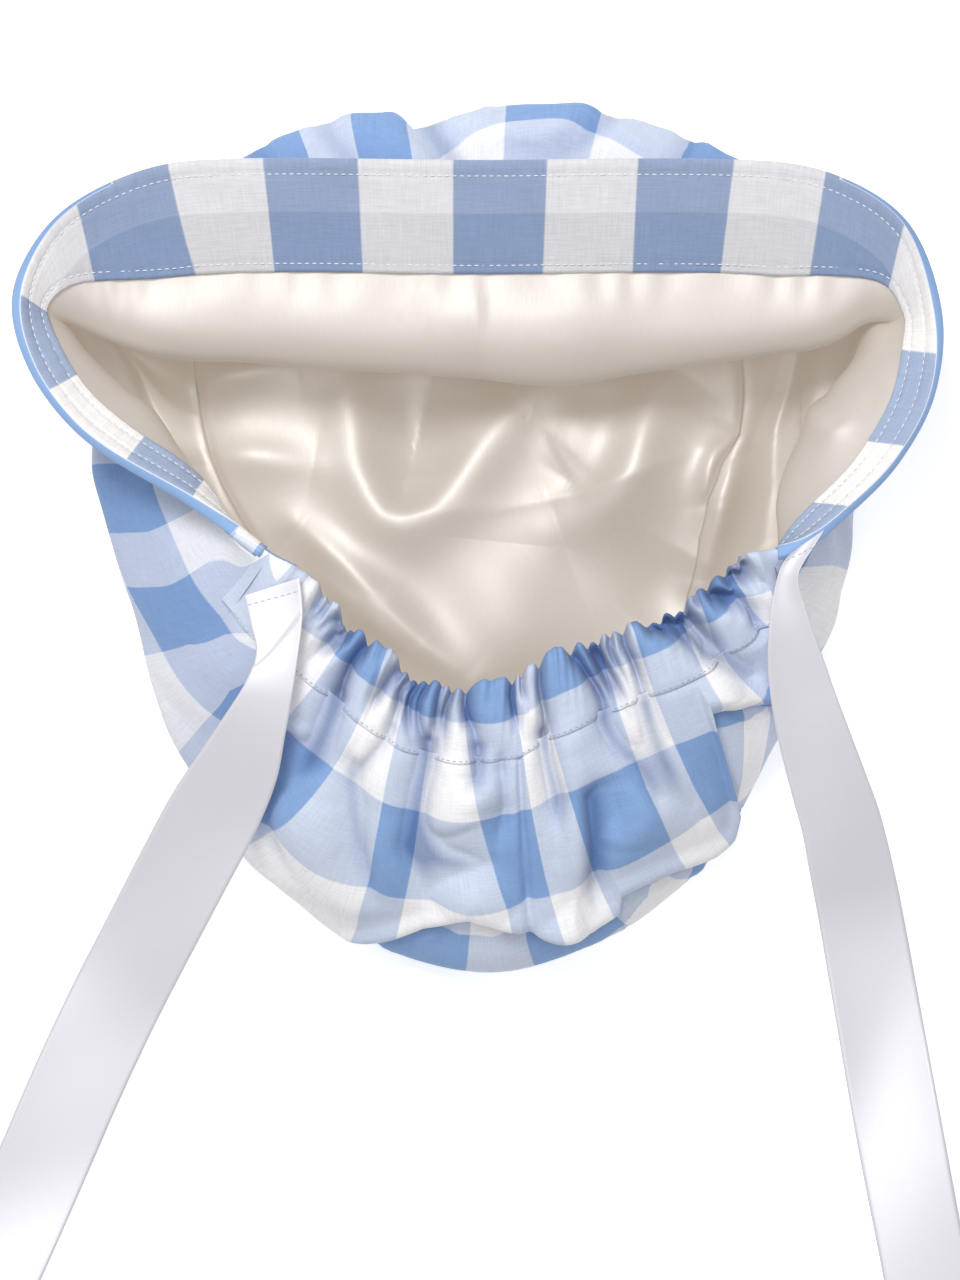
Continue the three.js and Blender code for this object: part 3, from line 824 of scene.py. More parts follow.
@dataclass(frozen=True)
class GinghamFinish:
    """Woven cotton in blue and white checks."""

    name: str
    white: Colour
    warp_blue: Colour
    weft_blue: Colour
    both_blue: Colour

    def make(self, group: bpy.types.NodeTree) -> bpy.types.Material:
        """Builds the material.

        Args:
            group: The shared check group.

        Returns:
            The material.
        """
        material, nodes, shader = new_material(self.name)
        cloth = nodes.add("UVMap", uv_map="cloth").outputs[0]
        checks = nodes.add("Group", node_tree=group)
        # The painted light and shade kept on each vertex
        shade = nodes.add("Attribute", attribute_name="shade").outputs["Fac"]
        pairs = {"Cloth": cloth, "Shade": shade, "White": self.white, "Warp Blue": self.warp_blue,
                 "Weft Blue": self.weft_blue, "Both Blue": self.both_blue}
        for socket, value in pairs.items():
            nodes.feed(checks.inputs[socket], value)
        nodes.feed(shader["Base Color"], checks.outputs["Color"])
        shader["Roughness"].default_value = 0.86
        shader["Specular IOR Level"].default_value = 0.25
        shader["Sheen Weight"].default_value = 0.12
        shader["Sheen Roughness"].default_value = 0.5
        relief = nodes.add(
            "Bump", {"Height": checks.outputs["Height"], "Strength": 0.35, "Distance": 0.0003})
        nodes.feed(shader["Normal"], relief.outputs[0])
        return material


@dataclass(frozen=True)
class SatinFinish:
    """Glossy satin, for the lining and the ribbons, with a painted glow that lifts its shaded folds."""

    name: str
    light: Colour
    deep: Colour
    gloss: float
    coat: float
    metal: float
    painted_glow: Colour

    def make(self, group: bpy.types.NodeTree) -> bpy.types.Material:
        """Builds the material.

        Args:
            group: The shared satin group.

        Returns:
            The material.
        """
        material, nodes, shader = new_material(self.name)
        cloth = nodes.add("UVMap", uv_map="cloth").outputs[0]
        weave = nodes.add("Group", node_tree=group)
        for socket, value in {"Cloth": cloth, "Light": self.light, "Deep": self.deep}.items():
            nodes.feed(weave.inputs[socket], value)
        nodes.feed(shader["Base Color"], weave.outputs["Color"])
        nodes.feed(shader["Roughness"], weave.outputs["Roughness"])
        shader["Specular IOR Level"].default_value = self.gloss
        shader["Metallic"].default_value = self.metal
        shader["Coat Weight"].default_value = self.coat
        # Painted light: a faint warm emission stands in for the light that bounces into the satin's
        # shadows
        shader["Emission Color"].default_value = self.painted_glow
        shader["Emission Strength"].default_value = 1.0
        shader["Coat Roughness"].default_value = 0.35
        relief = nodes.add(
            "Bump", {"Height": weave.outputs["Height"], "Strength": 0.2, "Distance": 0.0001})
        nodes.feed(shader["Normal"], relief.outputs[0])
        return material


@dataclass(frozen=True)
class ThreadFinish:
    """Sewing thread with a twist along each stitch."""

    name: str
    colour: Colour

    def make(self) -> bpy.types.Material:
        """Builds the material.

        Returns:
            The material.
        """
        material, nodes, shader = new_material(self.name)
        place = nodes.add("TexCoord").outputs["Object"]
        twist = nodes.noise(place, 2600.0, 1.0)
        shade = nodes.mix(nodes.math("MULTIPLY", twist, 0.5), self.colour, (0.55, 0.58, 0.66, 1))
        nodes.feed(shader["Base Color"], shade)
        shader["Roughness"].default_value = 0.6
        return material


def new_material(name: str) -> tuple[bpy.types.Material, Nodes, object]:
    """Starts a material.

    Args:
        name: The material's name.

    Returns:
        The material, a hand for its nodes and the shader's inputs.
    """
    material = bpy.data.materials.new(name)
    material.use_nodes = True
    shader = material.node_tree.nodes["Principled BSDF"]
    return material, Nodes(material.node_tree), shader.inputs


@dataclass
class Finishes:
    """Every material of the cap, built once."""

    shell: bpy.types.Material = field(init=False)
    facing: bpy.types.Material = field(init=False)
    satin: bpy.types.Material = field(init=False)
    ribbon: bpy.types.Material = field(init=False)
    thread: bpy.types.Material = field(init=False)
    shadowed_thread: bpy.types.Material = field(init=False)

    def __post_init__(self) -> None:
        """Makes the groups and the materials."""
        checks, floats = gingham_group(), satin_group()
        white = (0.80, 0.80, 0.83, 1)
        self.shell = GinghamFinish(
            "gingham_outside", white, (0.51, 0.57, 0.72, 1), (0.53, 0.59, 0.73, 1), (0.21, 0.34, 0.60, 1)
        ).make(checks)
        self.facing = GinghamFinish(
            "gingham_inside", (0.655, 0.65, 0.68, 1), (0.265, 0.33, 0.48, 1), (0.575, 0.57, 0.60, 1),
            (0.215, 0.285, 0.44, 1)
        ).make(checks)
        # The satin's and the ribbon's glow is painted light that lifts their shaded folds
        self.satin = SatinFinish(
            "ivory_satin", (0.485, 0.47, 0.45, 1), (0.42, 0.40, 0.378, 1), gloss=0.5, coat=0.03,
            metal=0.26, painted_glow=(0.172, 0.138, 0.108, 1)
        ).make(floats)
        self.ribbon = SatinFinish(
            "white_ribbon", (0.76, 0.75, 0.80, 1), (0.70, 0.69, 0.75, 1), gloss=0.5, coat=0.08,
            metal=0.2, painted_glow=(0.02, 0.02, 0.02, 1)
        ).make(floats)
        self.thread = ThreadFinish("white_thread", (0.85, 0.86, 0.90, 1)).make()
        # Painted shade: a blue-grey thread that makes the sunk stitches read as shaded dots
        self.shadowed_thread = ThreadFinish("shadowed_thread", (0.30, 0.40, 0.60, 1)).make()


# Where the stripes change round the mouth, in stations: at the rim, at the hem's edge and low on the band
STRIPES = (
    (0.29, 0.29, 0.29), (1.3, 1.28, 1.3), (2.3, 2.25, 2.3), (3.36, 3.12, 3.4), (4.6, 4.5, 4.6),
    (6.0, 6.0, 6.0),
    (7.3, 7.3, 7.3), (8.7, 8.7, 8.7), (9.85, 9.85, 9.85), (11.0, 11.0, 11.0), (11.6, 11.6, 11.6),
    (12.6, 12.6, 12.3), (13.25, 13.25, 12.95), (13.7, 13.7, 13.82), (14.15, 14.15, 14.15),
    (14.5, 14.5, 15.05), (15.25, 15.25, 15.45), (15.7, 15.7, 15.9), (16.7, 16.7, 16.7),
    (17.2, 17.2, 17.2), (18.0, 18.0, 17.85), (18.25, 18.25, 18.5), (18.85, 18.85, 19.2),
    (19.8, 19.8, 19.8), (21.0, 21.0, 21.0), (22.2, 22.2, 22.2), (23.5, 23.5, 23.5), (25.0, 24.9, 25.0),
    (26.12, 26.18, 26.15), (27.2, 27.3, 27.17), (28.27, 28.31, 28.25), (29.27, 29.36, 29.27),
)
# Length from the rim to the band's first edge of checks, in millimetres
FIRST_ROW = 9.8
# The middle of a blue stripe, in checks
BLUE = 1.5
# Edges of the crown's stripes across the cap, in millimetres of flat cloth: at the back and at the front
CROWN_COLUMNS = (
    (-172, -172), (-147, -147), (-125, -125), (-102, -95), (-79, -66), (-54, -50.5), (-29, -36.5),
    (-3.8, -21),
    (14.7, 7.5), (42.5, 34), (60, 59), (78, 73), (99, 88), (122, 112), (147, 147), (172, 172),
)
CROWN_ROWS = (
    -186, -156, -131, -105, -90, -75, -60, -45, -29.3, -12, 3.5, 21.8, 50, 80, 109, 134, 159, 184,
)
# Edges of the band's checks on its two flanks, in millimetres from the crown's middle
FLANK_COLUMNS = (-175, -152, -128.5, -104, -80, 80, 99, 126, 147, 172)
LEFT_ROWS = (-140, -115, -90, -63, -35, -14.2, 1.1, 21, 47, 75)
RIGHT_ROWS = (-130, -104, -78, -39.7, -5.6, 20, 46, 72, 98, 124)
LEFT_SHEAR = ((-60, -45, -33, -18), (1.3, 0.68, 0.5, 0.05))
# Lines in plan that part the flanks' grain from the back's, under the ties: a point and the way outward
GRAIN_LINES = (((-59.5, -48.0), (-0.896, 0.443)), ((84.0, -36.0), (0.945, 0.326)))


def stripes_along(stations: np.ndarray, column: int) -> np.ndarray:
    """Stripes of cloth counted round the mouth up to each station.

    Args:
        stations: Places round the mouth.
        column: The column of the table of stripes.

    Returns:
        How many stripes.
    """
    edges = np.array(STRIPES)[:, column]
    count = len(edges)
    knots = np.concatenate([edges - STATIONS, edges, edges + STATIONS])
    return np.interp(stations, knots, np.arange(-count, 2 * count))


def laid_flat(sections: Sections, down: np.ndarray) -> tuple[np.ndarray, np.ndarray]:
    """Where cloth would lie if it were laid out flat from the crown's middle.

    Args:
        sections: The sections.
        down: Lengths of cloth from the rim, a row per station.

    Returns:
        The x and the y of each place, in millimetres.
    """
    girth = sections.form.girth.at(sections.stations)[:, :2]
    heading = girth / np.linalg.norm(girth, axis=1)[:, None]
    reach = sections.mark(HUB)[:, None] - down
    return heading[:, :1] * reach, heading[:, 1:] * reach


def crown_weave(sections: Sections, down: np.ndarray) -> np.ndarray:
    """Cloth coordinates of the crown.

    Args:
        sections: The sections.
        down: Lengths of cloth from the rim, a row per station.

    Returns:
        The coordinates, in checks.
    """
    x, y = laid_flat(sections, down)
    tilted = y + 0.053 * (x + 104) - 0.35 * np.maximum(np.abs(x) - 104, 0)
    back, front = np.array(CROWN_COLUMNS, float).T
    count = np.arange(1, len(back) + 1)
    front_share = ease(-100, 100, y)
    columns = np.interp(x, back, count) * (1 - front_share) + np.interp(x, front, count) * front_share
    rows = np.interp(tilted, CROWN_ROWS, np.arange(-1, len(CROWN_ROWS) - 1))
    return np.stack([columns, rows], axis=-1)


def flank_weave(sections: Sections, down: np.ndarray) -> np.ndarray:
    """Cloth coordinates of the band's two flanks, where its checks run level with the crown's.

    Args:
        sections: The sections.
        down: Lengths of cloth from the rim, a row per station.

    Returns:
        The coordinates, in checks.
    """
    x, y = laid_flat(sections, down)
    columns = np.interp(x, FLANK_COLUMNS, (1, 2, 3, 4, 5, 13, 14, 15, 16, 17))
    shear = np.interp(y, *LEFT_SHEAR)
    left = np.interp(y + 0.14 * (-110 - x) + shear * np.maximum(-115 - x, 0), LEFT_ROWS, np.arange(3, 13))
    right = np.interp(y + 1.05 * np.maximum(x - 100.6, 0), RIGHT_ROWS, np.arange(3, 13))
    return np.stack([columns, np.where(x < 0, left, right)], axis=-1)


def on_flank_grain(points: np.ndarray) -> np.ndarray:
    """Whether places at the side lie beyond the lines where the grain changes.

    Args:
        points: The places, in millimetres.

    Returns:
        True where they do.
    """
    x, y = points[..., 0], points[..., 1]
    beyond = [(x - at[0]) * way[0] + (y - at[1]) * way[1] > 0 for at, way in GRAIN_LINES]
    return (beyond[0] | beyond[1]) & (y < 62)


def around(*marks: tuple[float, float, int]) -> np.ndarray:
    """Stations from runs of start, end and count, without each run's end."""
    return np.concatenate([np.linspace(start, end, count, endpoint=False) for start, end, count in marks])


# Folds of the crown beyond the front edge
FRONT_FOLDS = station_folds(
    (-4.0, 3.2, (0.75, 148), (0.7, 128), (0.2, 108), (-0.5, 98)),
    (2.8, 5.0, (1.15, 140), (0.95, 118), (0.4, 104)),
    (-2.2, 2.6, (1.9, 132), (1.7, 116), (1.0, 104)),
    (-2.6, 2.8, (-1.9, 134), (-1.3, 124), (-0.4, 118)),
    (2.6, 4.0, (-1.2, 130), (-0.6, 124), (0.2, 122)),
    (-2.2, 3.0, (2.9, 128), (2.6, 112), (2.0, 100)),
    (-2.0, 3.0, (-2.9, 126), (-2.5, 112), (-2.2, 98)),
)


@dataclass
class Shell:
    """The checked outside: the side band, the crown panel, the casing and the facing.

    Attributes:
        form: The wall.
        finishes: The materials.
        cloth: Thickness of the cloth, in millimetres like all lengths here.
        hem_roll: Radius of the hem's roll over the rim.
        roll_squash: How high the roll stands, as a share of its radius.
        roll_columns: Columns of the grid round the roll.
        hem_columns: Columns of the grid down the hem's inside.
        hem_stitches: Distances of the hem's two rows of stitches from the roll and from the hem's edge.
        hem_face: How far the hem's face lies outward from the wall's middle.
        front_edge: Columns from the outside that keep the shell's finish at the front.
        side_edge: The same at the sides, where the roll shows a blue stripe.
        seam_at: Station of the centre-back seam.
        even_from: Length from the rim where the band's rows no longer follow its top.
        crumple_run: Length of cloth per station that the crumples are drawn on.
        pale: Painted light: how much paler the gathered cloth is painted than its checks' own colours, 0
            to 1.
        wrinkles: The crumples.
    """

    form: WallForm
    finishes: Finishes
    cloth: float = 0.7
    hem_roll: float = 1.8
    roll_squash: float = 0.55
    roll_columns: int = 13
    hem_columns: int = 26
    hem_stitches: tuple[float, float] = (3.0, 2.3)
    hem_face: float = -1.95
    front_edge: int = 7
    side_edge: int = 12
    seam_at: float = 15.25
    even_from: float = 24.0
    crumple_run: float = 20.0
    pale: float = 0.10
    wrinkles: Wrinkles = Wrinkles(SEED, 17.0, 46.0)

    def layer(
        self, sections: Sections, down: np.ndarray, low: np.ndarray | float, high: np.ndarray | float
    ) -> list[np.ndarray]:
        """Both faces of a layer of cloth.

        Args:
            sections: The wall's sections.
            down: Lengths of cloth from the rim, a row per station.
            low: How far the inner face lies outward from the wall's middle.
            high: The same for the outer face.

        Returns:
            The inner and the outer grid of points.
        """
        point, normal = sections.points(down), sections.normals(down)
        faces = []
        for offset in (low, high):
            moved = point + normal * (np.broadcast_to(offset, down.shape)[..., None])
            moved[..., 2] = np.maximum(moved[..., 2], 0.0)
            faces.append(moved)
        return faces

    def band_weave(self, sections: Sections, down: np.ndarray) -> np.ndarray:
        """Cloth coordinates of the band: round the mouth and down from the rim.

        Args:
            sections: The sections.
            down: Lengths of cloth from the rim, a row per station.

        Returns:
            The coordinates, in checks.
        """
        upper, low = (stripes_along(sections.stations, column)[:, None] for column in (0, 2))
        along = upper + (low - upper) * np.clip((down - 6) / 54, 0, 1.3)
        return np.stack([along, (down - FIRST_ROW) / CHECK], axis=-1)

    def seam_groove(self, stations: np.ndarray, down: np.ndarray) -> np.ndarray:
        """The centre-back seam, pressed in between two soft edges."""
        off = (stations - self.seam_at) * 17.0
        return (-1.5 * bump(0, 0.8, off) + 0.5 * bump(2.6, 2.2, np.abs(off))) * ease(16, 24, down)

    def side_band(self) -> bpy.types.Object:
        """The band from the hem, or from the casing, down to the crown seam.

        Returns:
            The band's object.
        """
        form = self.form
        stations = around(
            (form.casing_to + 0.02, STATIONS, 120), (0, form.casing_from - 0.02, 120),
            (form.casing_from - 0.02, form.casing_from + 0.05, 3),
            (form.casing_from + 0.05, form.casing_from + 0.06, 1),
            (form.casing_from + 0.06, form.casing_to - 0.06, 480),
            (form.casing_to - 0.06, form.casing_to - 0.05, 1),
            (form.casing_to - 0.05, form.casing_to + 0.02, 3),
        )
        sections = form.sections(stations)
        inside = (stations >= form.casing_from + 0.06) & (stations <= form.casing_to - 0.06)
        top = np.where(inside, form.casing_width - 1.2, self.hem_roll + 0.2)[:, None]
        upper, below = np.linspace(0, 1, 14, endpoint=False), np.linspace(0, 1, 50)
        seam = sections.seam[:, None]
        down = np.concatenate([top + (self.even_from - top) * upper,
                               self.even_from + (seam - self.even_from) * below], axis=1)
        column = stations[:, None]
        share = form.casing_share(column)
        back = ease(0.0, 0.08, share) * ease(0.0, 0.08, 1 - share)
        crumple = self.wrinkles.height(column * self.crumple_run, down) * 0.45 * ease(0, 12, down - top)
        out = form.ruffle(column, down) + self.seam_groove(column, down) * back + crumple
        swell = 2.2 * bump(4.5, 3.5, seam - down) * back
        tucked = -1.6 * bump(0, 1.6, seam - down)
        out = np.maximum(out + swell + tucked, -1.1)
        high = form.outside + out
        inner, outer = self.layer(sections, down, high - self.cloth, high)
        # Painted shade in the creases and on the left flank, and painted light making the rest a little
        # paler
        return Cloth("side_band_cloth", inner, outer, self.band_weave(sections, down), Closure.ROUND,
                     period=len(STRIPES), other=flank_weave(sections, down), chosen=on_flank_grain(outer),
                     shade=form.crease_shade(column, down) - self.pale + self.flank_painted_shade(outer)).build()

    def flank_painted_shade(self, points: np.ndarray) -> np.ndarray:
        """Painted shade that darkens the left flank against the gathered back, 0 to 1."""
        return 0.27 * (on_flank_grain(points) & (points[..., 0] < 0))

    def crown_panel(self) -> bpy.types.Object:
        """The crown from its seam over the widest line to the flat where it lies.

        Returns:
            The crown's object.
        """
        form = self.form
        stations = np.linspace(0, STATIONS, 420, endpoint=False)
        sections = form.sections(stations)
        seam, past_foot = sections.seam[:, None] + 0.2, 8
        foot, end = sections.mark(FOOT)[:, None], sections.mark(HUB)[:, None]
        shares = np.concatenate([np.linspace(0, 1, 44), 1 + np.linspace(0, 1, 9)[1:]])
        down = np.where(shares <= 1, seam + (foot + past_foot - seam) * shares,
                        foot + past_foot + (end - foot - past_foot) * (shares - 1))
        column = stations[:, None]
        free = 1 - ease(-6, 2, down - foot)
        pucker = 0.55 * np.sin(column * 2 * math.pi * 3.7) * bump(0, 7, down - seam)
        crumple = self.wrinkles.height(column * self.crumple_run, down + 40) * 0.55
        crumple = crumple * ease(0, 10, down - seam)
        tucked = -1.2 * bump(0, 1.6, down - seam)
        folds = 1.4 * sum(fold.rise(self.front_run(column), down) for fold in FRONT_FOLDS)
        out = np.maximum((pucker + crumple + folds) * free + tucked, -0.9)
        high = form.outside + out
        inner, outer = self.layer(sections, down, high - self.cloth, high)
        weave = crown_weave(sections, down)
        # Painted shade in the valleys of the front folds, and painted light making the whole crown a
        # little paler
        shade = 0.7 * np.clip(-folds / 5.0, 0, 1) * free - 0.13
        return Cloth(
            "crown_panel_cloth", inner, outer, weave, Closure.ROUND, pole=True, shade=shade).build()

    def elastic_casing(self) -> bpy.types.Object:
        """The gathered tube at the back of the mouth.

        Returns:
            The casing's object.
        """
        form = self.form
        stations = np.linspace(form.casing_from - 0.10, form.casing_to + 0.10, 680)
        sections = form.sections(stations)
        down = np.tile(np.linspace(0, form.casing_width + 0.3, 28), (len(stations), 1))
        column = stations[:, None]
        out = form.ruffle(column, down)
        round_off = np.sqrt(np.clip(down / 2.4, 0, 1)) * 0.75 + 0.25
        share = form.casing_share(column)
        end_off = ease(-0.012, 0.004, share) * ease(-0.012, 0.004, 1 - share)
        full = 1.7 * round_off
        half = full * (0.3 + 0.7 * end_off)
        low = -half + ease(form.casing_width - 3, form.casing_width + 0.3, down) * (2 * half - 0.3)
        ledge = 0.06 + 0.3 * ease(form.casing_width - 4, form.casing_width, down)
        inner, outer = self.layer(sections, down, out + low, out + full + ledge)
        lift = ((out[:, :1] + 1.0) * 0.8)[..., None] * bump(0, 5.0, down)[..., None]
        inner, outer = inner + sections.rise() * lift, outer + sections.rise() * lift
        # Painted shade in the creases, and painted light making the rest a little paler
        return Cloth("elastic_casing_cloth", inner, outer, self.band_weave(sections, down),
                     other=flank_weave(sections, down), chosen=on_flank_grain(outer),
                     shade=form.crease_shade(column, down) - self.pale).build()

    def front_run(self, stations: np.ndarray) -> np.ndarray:
        """Distance round the mouth from front centre, negative on the right."""
        return (np.mod(stations + STATIONS / 2, STATIONS) - STATIONS / 2) * self.form.station_length

    def front_facing(self) -> bpy.types.Object:
        """The hem turned in round the front and the sides, rolled over the rim.

        Returns:
            The hem's object.
        """
        form = self.form
        right = np.linspace(form.casing_to + 0.05, STATIONS, 200, endpoint=False) - STATIONS
        stations = np.concatenate([right, np.linspace(0, form.casing_from - 0.05, 200)])
        sections = form.sections(stations)
        return self.hem(sections, form.facing_width(stations)[:, None])

    def hem(self, sections: Sections, width: np.ndarray) -> bpy.types.Object:
        """A rolled hem as one sheet: up the outside, over the rim and down the inside.

        Args:
            sections: Sections at the hem's stations.
            width: The hem's width at each station.

        Returns:
            The hem's object.
        """
        column = sections.stations[:, None]
        turn = np.linspace(0, math.pi, self.roll_columns)[None, :]
        up = np.tile(np.array([[self.hem_roll + 0.1, self.hem_roll * 0.5]]), (len(column), 1))
        inside = 0.6 + (width - 0.6) * np.linspace(0, 1, self.hem_columns)[None, :]
        down = np.concatenate([up, np.zeros((len(column), self.roll_columns)), inside], axis=1)
        rows = (self.hem_stitches[0], width - self.hem_stitches[1])
        crumple = self.wrinkles.height(column * self.crumple_run, inside) * 0.25 * ease(0, 8, inside)
        pucker = 0.14 * np.sin(column * 2 * math.pi * 4.3) * sum(bump(row, 2.4, inside) for row in rows)
        face = self.hem_face + 0.28 * sum(bump(row, 0.55, inside) for row in rows) + pucker + crumple
        point, normal = sections.points(down), sections.normals(np.maximum(down, 1.0))
        faces = []
        for wall in (self.cloth, 0.0):
            radius = self.hem_roll - wall
            away = np.concatenate([np.full_like(up, self.form.outside - wall),
                                   np.cos(turn) * radius + 0 * column, face + wall], axis=1)
            rise = np.concatenate([up * 0, np.sin(turn) * radius + 0 * column, inside * 0], axis=1)
            faces.append(point + normal * away[..., None]
                         + sections.rise() * rise[..., None] * self.roll_squash)
        from_front = np.abs(self.front_run(column)) / self.form.station_length
        side_from, side_to = 4.1, 10.6
        at_side = (from_front > side_from) & (from_front < side_to)
        shown = np.where(at_side, self.side_edge, self.front_edge)
        edge = np.arange(down.shape[1])[None, :] < shown
        weave = self.hem_weave(sections, down, width)
        weave[..., 1] = np.where(edge, BLUE, weave[..., 1])
        weave[..., 0] = np.where(edge & at_side, BLUE, weave[..., 0])
        # Painted light: the hem's sides are painted paler than its front
        shade = np.broadcast_to(-0.55 * ease(4.6, 6.4, from_front), down.shape)
        return Cloth(
            "front_facing_cloth", *faces, weave, second_finish=edge[:-1, :-1], shade=shade).build()

    def hem_weave(self, sections: Sections, down: np.ndarray, width: np.ndarray) -> np.ndarray:
        """Cloth coordinates of the hem, which turn back at its roll.

        Args:
            sections: Sections at the hem's stations.
            down: Lengths from the rim, a row per station.
            width: The hem's width at each station.

        Returns:
            The coordinates, in checks.
        """
        upper, low = (stripes_along(sections.stations, column)[:, None] for column in (0, 1))
        along = upper + (low - upper) * np.clip(down / width, 0, 1)
        way = np.where(np.arange(down.shape[1]) < down.shape[1] - self.hem_columns, 1.0, -1.0)
        roll_at = 13.0
        return np.stack([along, (down * way + roll_at) / CHECK], axis=-1)

    def build(self) -> dict[str, bpy.types.Object]:
        """Builds the four pieces and dresses them.

        Returns:
            The pieces by name.
        """
        pieces = {
            "side_band": self.side_band(), "crown_panel": self.crown_panel(),
            "elastic_casing": self.elastic_casing(), "front_facing": self.front_facing(),
        }
        pieces["front_facing"].data.materials.append(self.finishes.facing)
        for piece in pieces.values():
            piece.data.materials.append(self.finishes.shell)
        return pieces


# Folds of the crown's lining, in plan
CROWN_FOLDS = (
    Fold(((16.4, 50), (16.4, 43), (8.2, 32.5), (0, 23), (-8.2, 12), (-13.6, 7.4), (-20.5, 4.7),
          (-26, 6.6), (-29.5, 12), (-32.2, 19), (-33.3, 30), (-35.5, 39), (-38, 46)), 10.5, 8.0, 6.5),
    Fold(((53.2, 48), (47.7, 39.3), (45, 29.8), (42.3, 20.2), (36.8, 12), (30, 6.6), (20, 3.0)),
         12.0, 9.0, 6.0),
    Fold(((-79, 41), (-68.2, 44.8), (-50, 48.5)), 5.2, 5.5, 3.6),
    Fold(((-74, 22.4), (-61.4, 22.6), (-45, 20)), 4.8, 6.5, 3.8),
    Fold(((-50, 4), (-43.6, -1.6), (-32.7, -11.1), (-21.8, -22), (-13.6, -30.2), (-3, -39)),
         6.5, 4.8, 3.4),
    Fold(((-43, -10.5), (-31.4, -20.5), (-19, -31)), 3.6, 3.4, 2.4),
    Fold(((71, 28.4), (64, 24.3), (61.5, 16.1), (62.7, 9)), 4.8, 3.0, 2.0),
    Fold(((72.3, 25.7), (69.5, 18.9), (66.8, 10.7), (63.3, -0.2), (60, -12)), 6.0, 3.4, 2.4),
    Fold(((-20, 6.6), (13.6, 9.3), (35.5, 14.8), (59, 25)), 0.8, 2.0, 1.2),
    Fold(((-18, 44), (-19, 30), (-18, 16)), -4.6, 10.0),
    Fold(((58, -4), (52, -14), (44, -24)), -3.8, 13.0),
    Fold(((6, 0), (4, -20), (8, -40)), 4.0, 16.0),
    Fold(((28, 40), (26, 28), (20, 18)), 3.4, 8.0),
)


# Folds of the band's lining
WALL_FOLDS = station_folds(
    (6.5, 8.5, (24.3, 52), (23.9, 56), (23.5, 61), (23.0, 69), (22.4, 76), (21.8, 78), (21.2, 74)),
    (-3.0, 3.2, (24.4, 64.5), (24.1, 67), (23.76, 71.2), (23.36, 80.2), (22.8, 88.5), (22.0, 93),
     (21.3, 92)),
    (4.5, 7.0, (5.7, 38), (6.0, 47), (6.4, 54), (7.1, 61), (7.8, 68)),
    (-2.4, 3.0, (5.8, 48.8), (6.0, 57.8), (6.2, 64), (6.88, 70.5), (7.56, 76.5), (8.1, 81)),
    (3.0, 5.0, (23.9, 16), (23.6, 32), (23.7, 46)),
    (3.0, 5.0, (22.3, 22), (22.7, 42), (22.9, 58)),
)


# Where the lining's side seams lie in plan: heading in degrees, distance from the middle
LINING_SEAMS = (
    ((-38.0, 62.0), (-15.0, 59.0), (0.0, 60.0), (9.6, 63.0), (17.2, 69.0), (22.0, 76.5), (29.0, 82.5),
     (36.2, 88.2), (44.0, 97.0)),
    ((141.0, 97.0), (146.0, 94.7), (153.3, 86.3), (163.9, 76.1), (172.7, 67.6), (180.3, 61.4),
     (190.0, 58.0), (205.0, 60.0)),
)


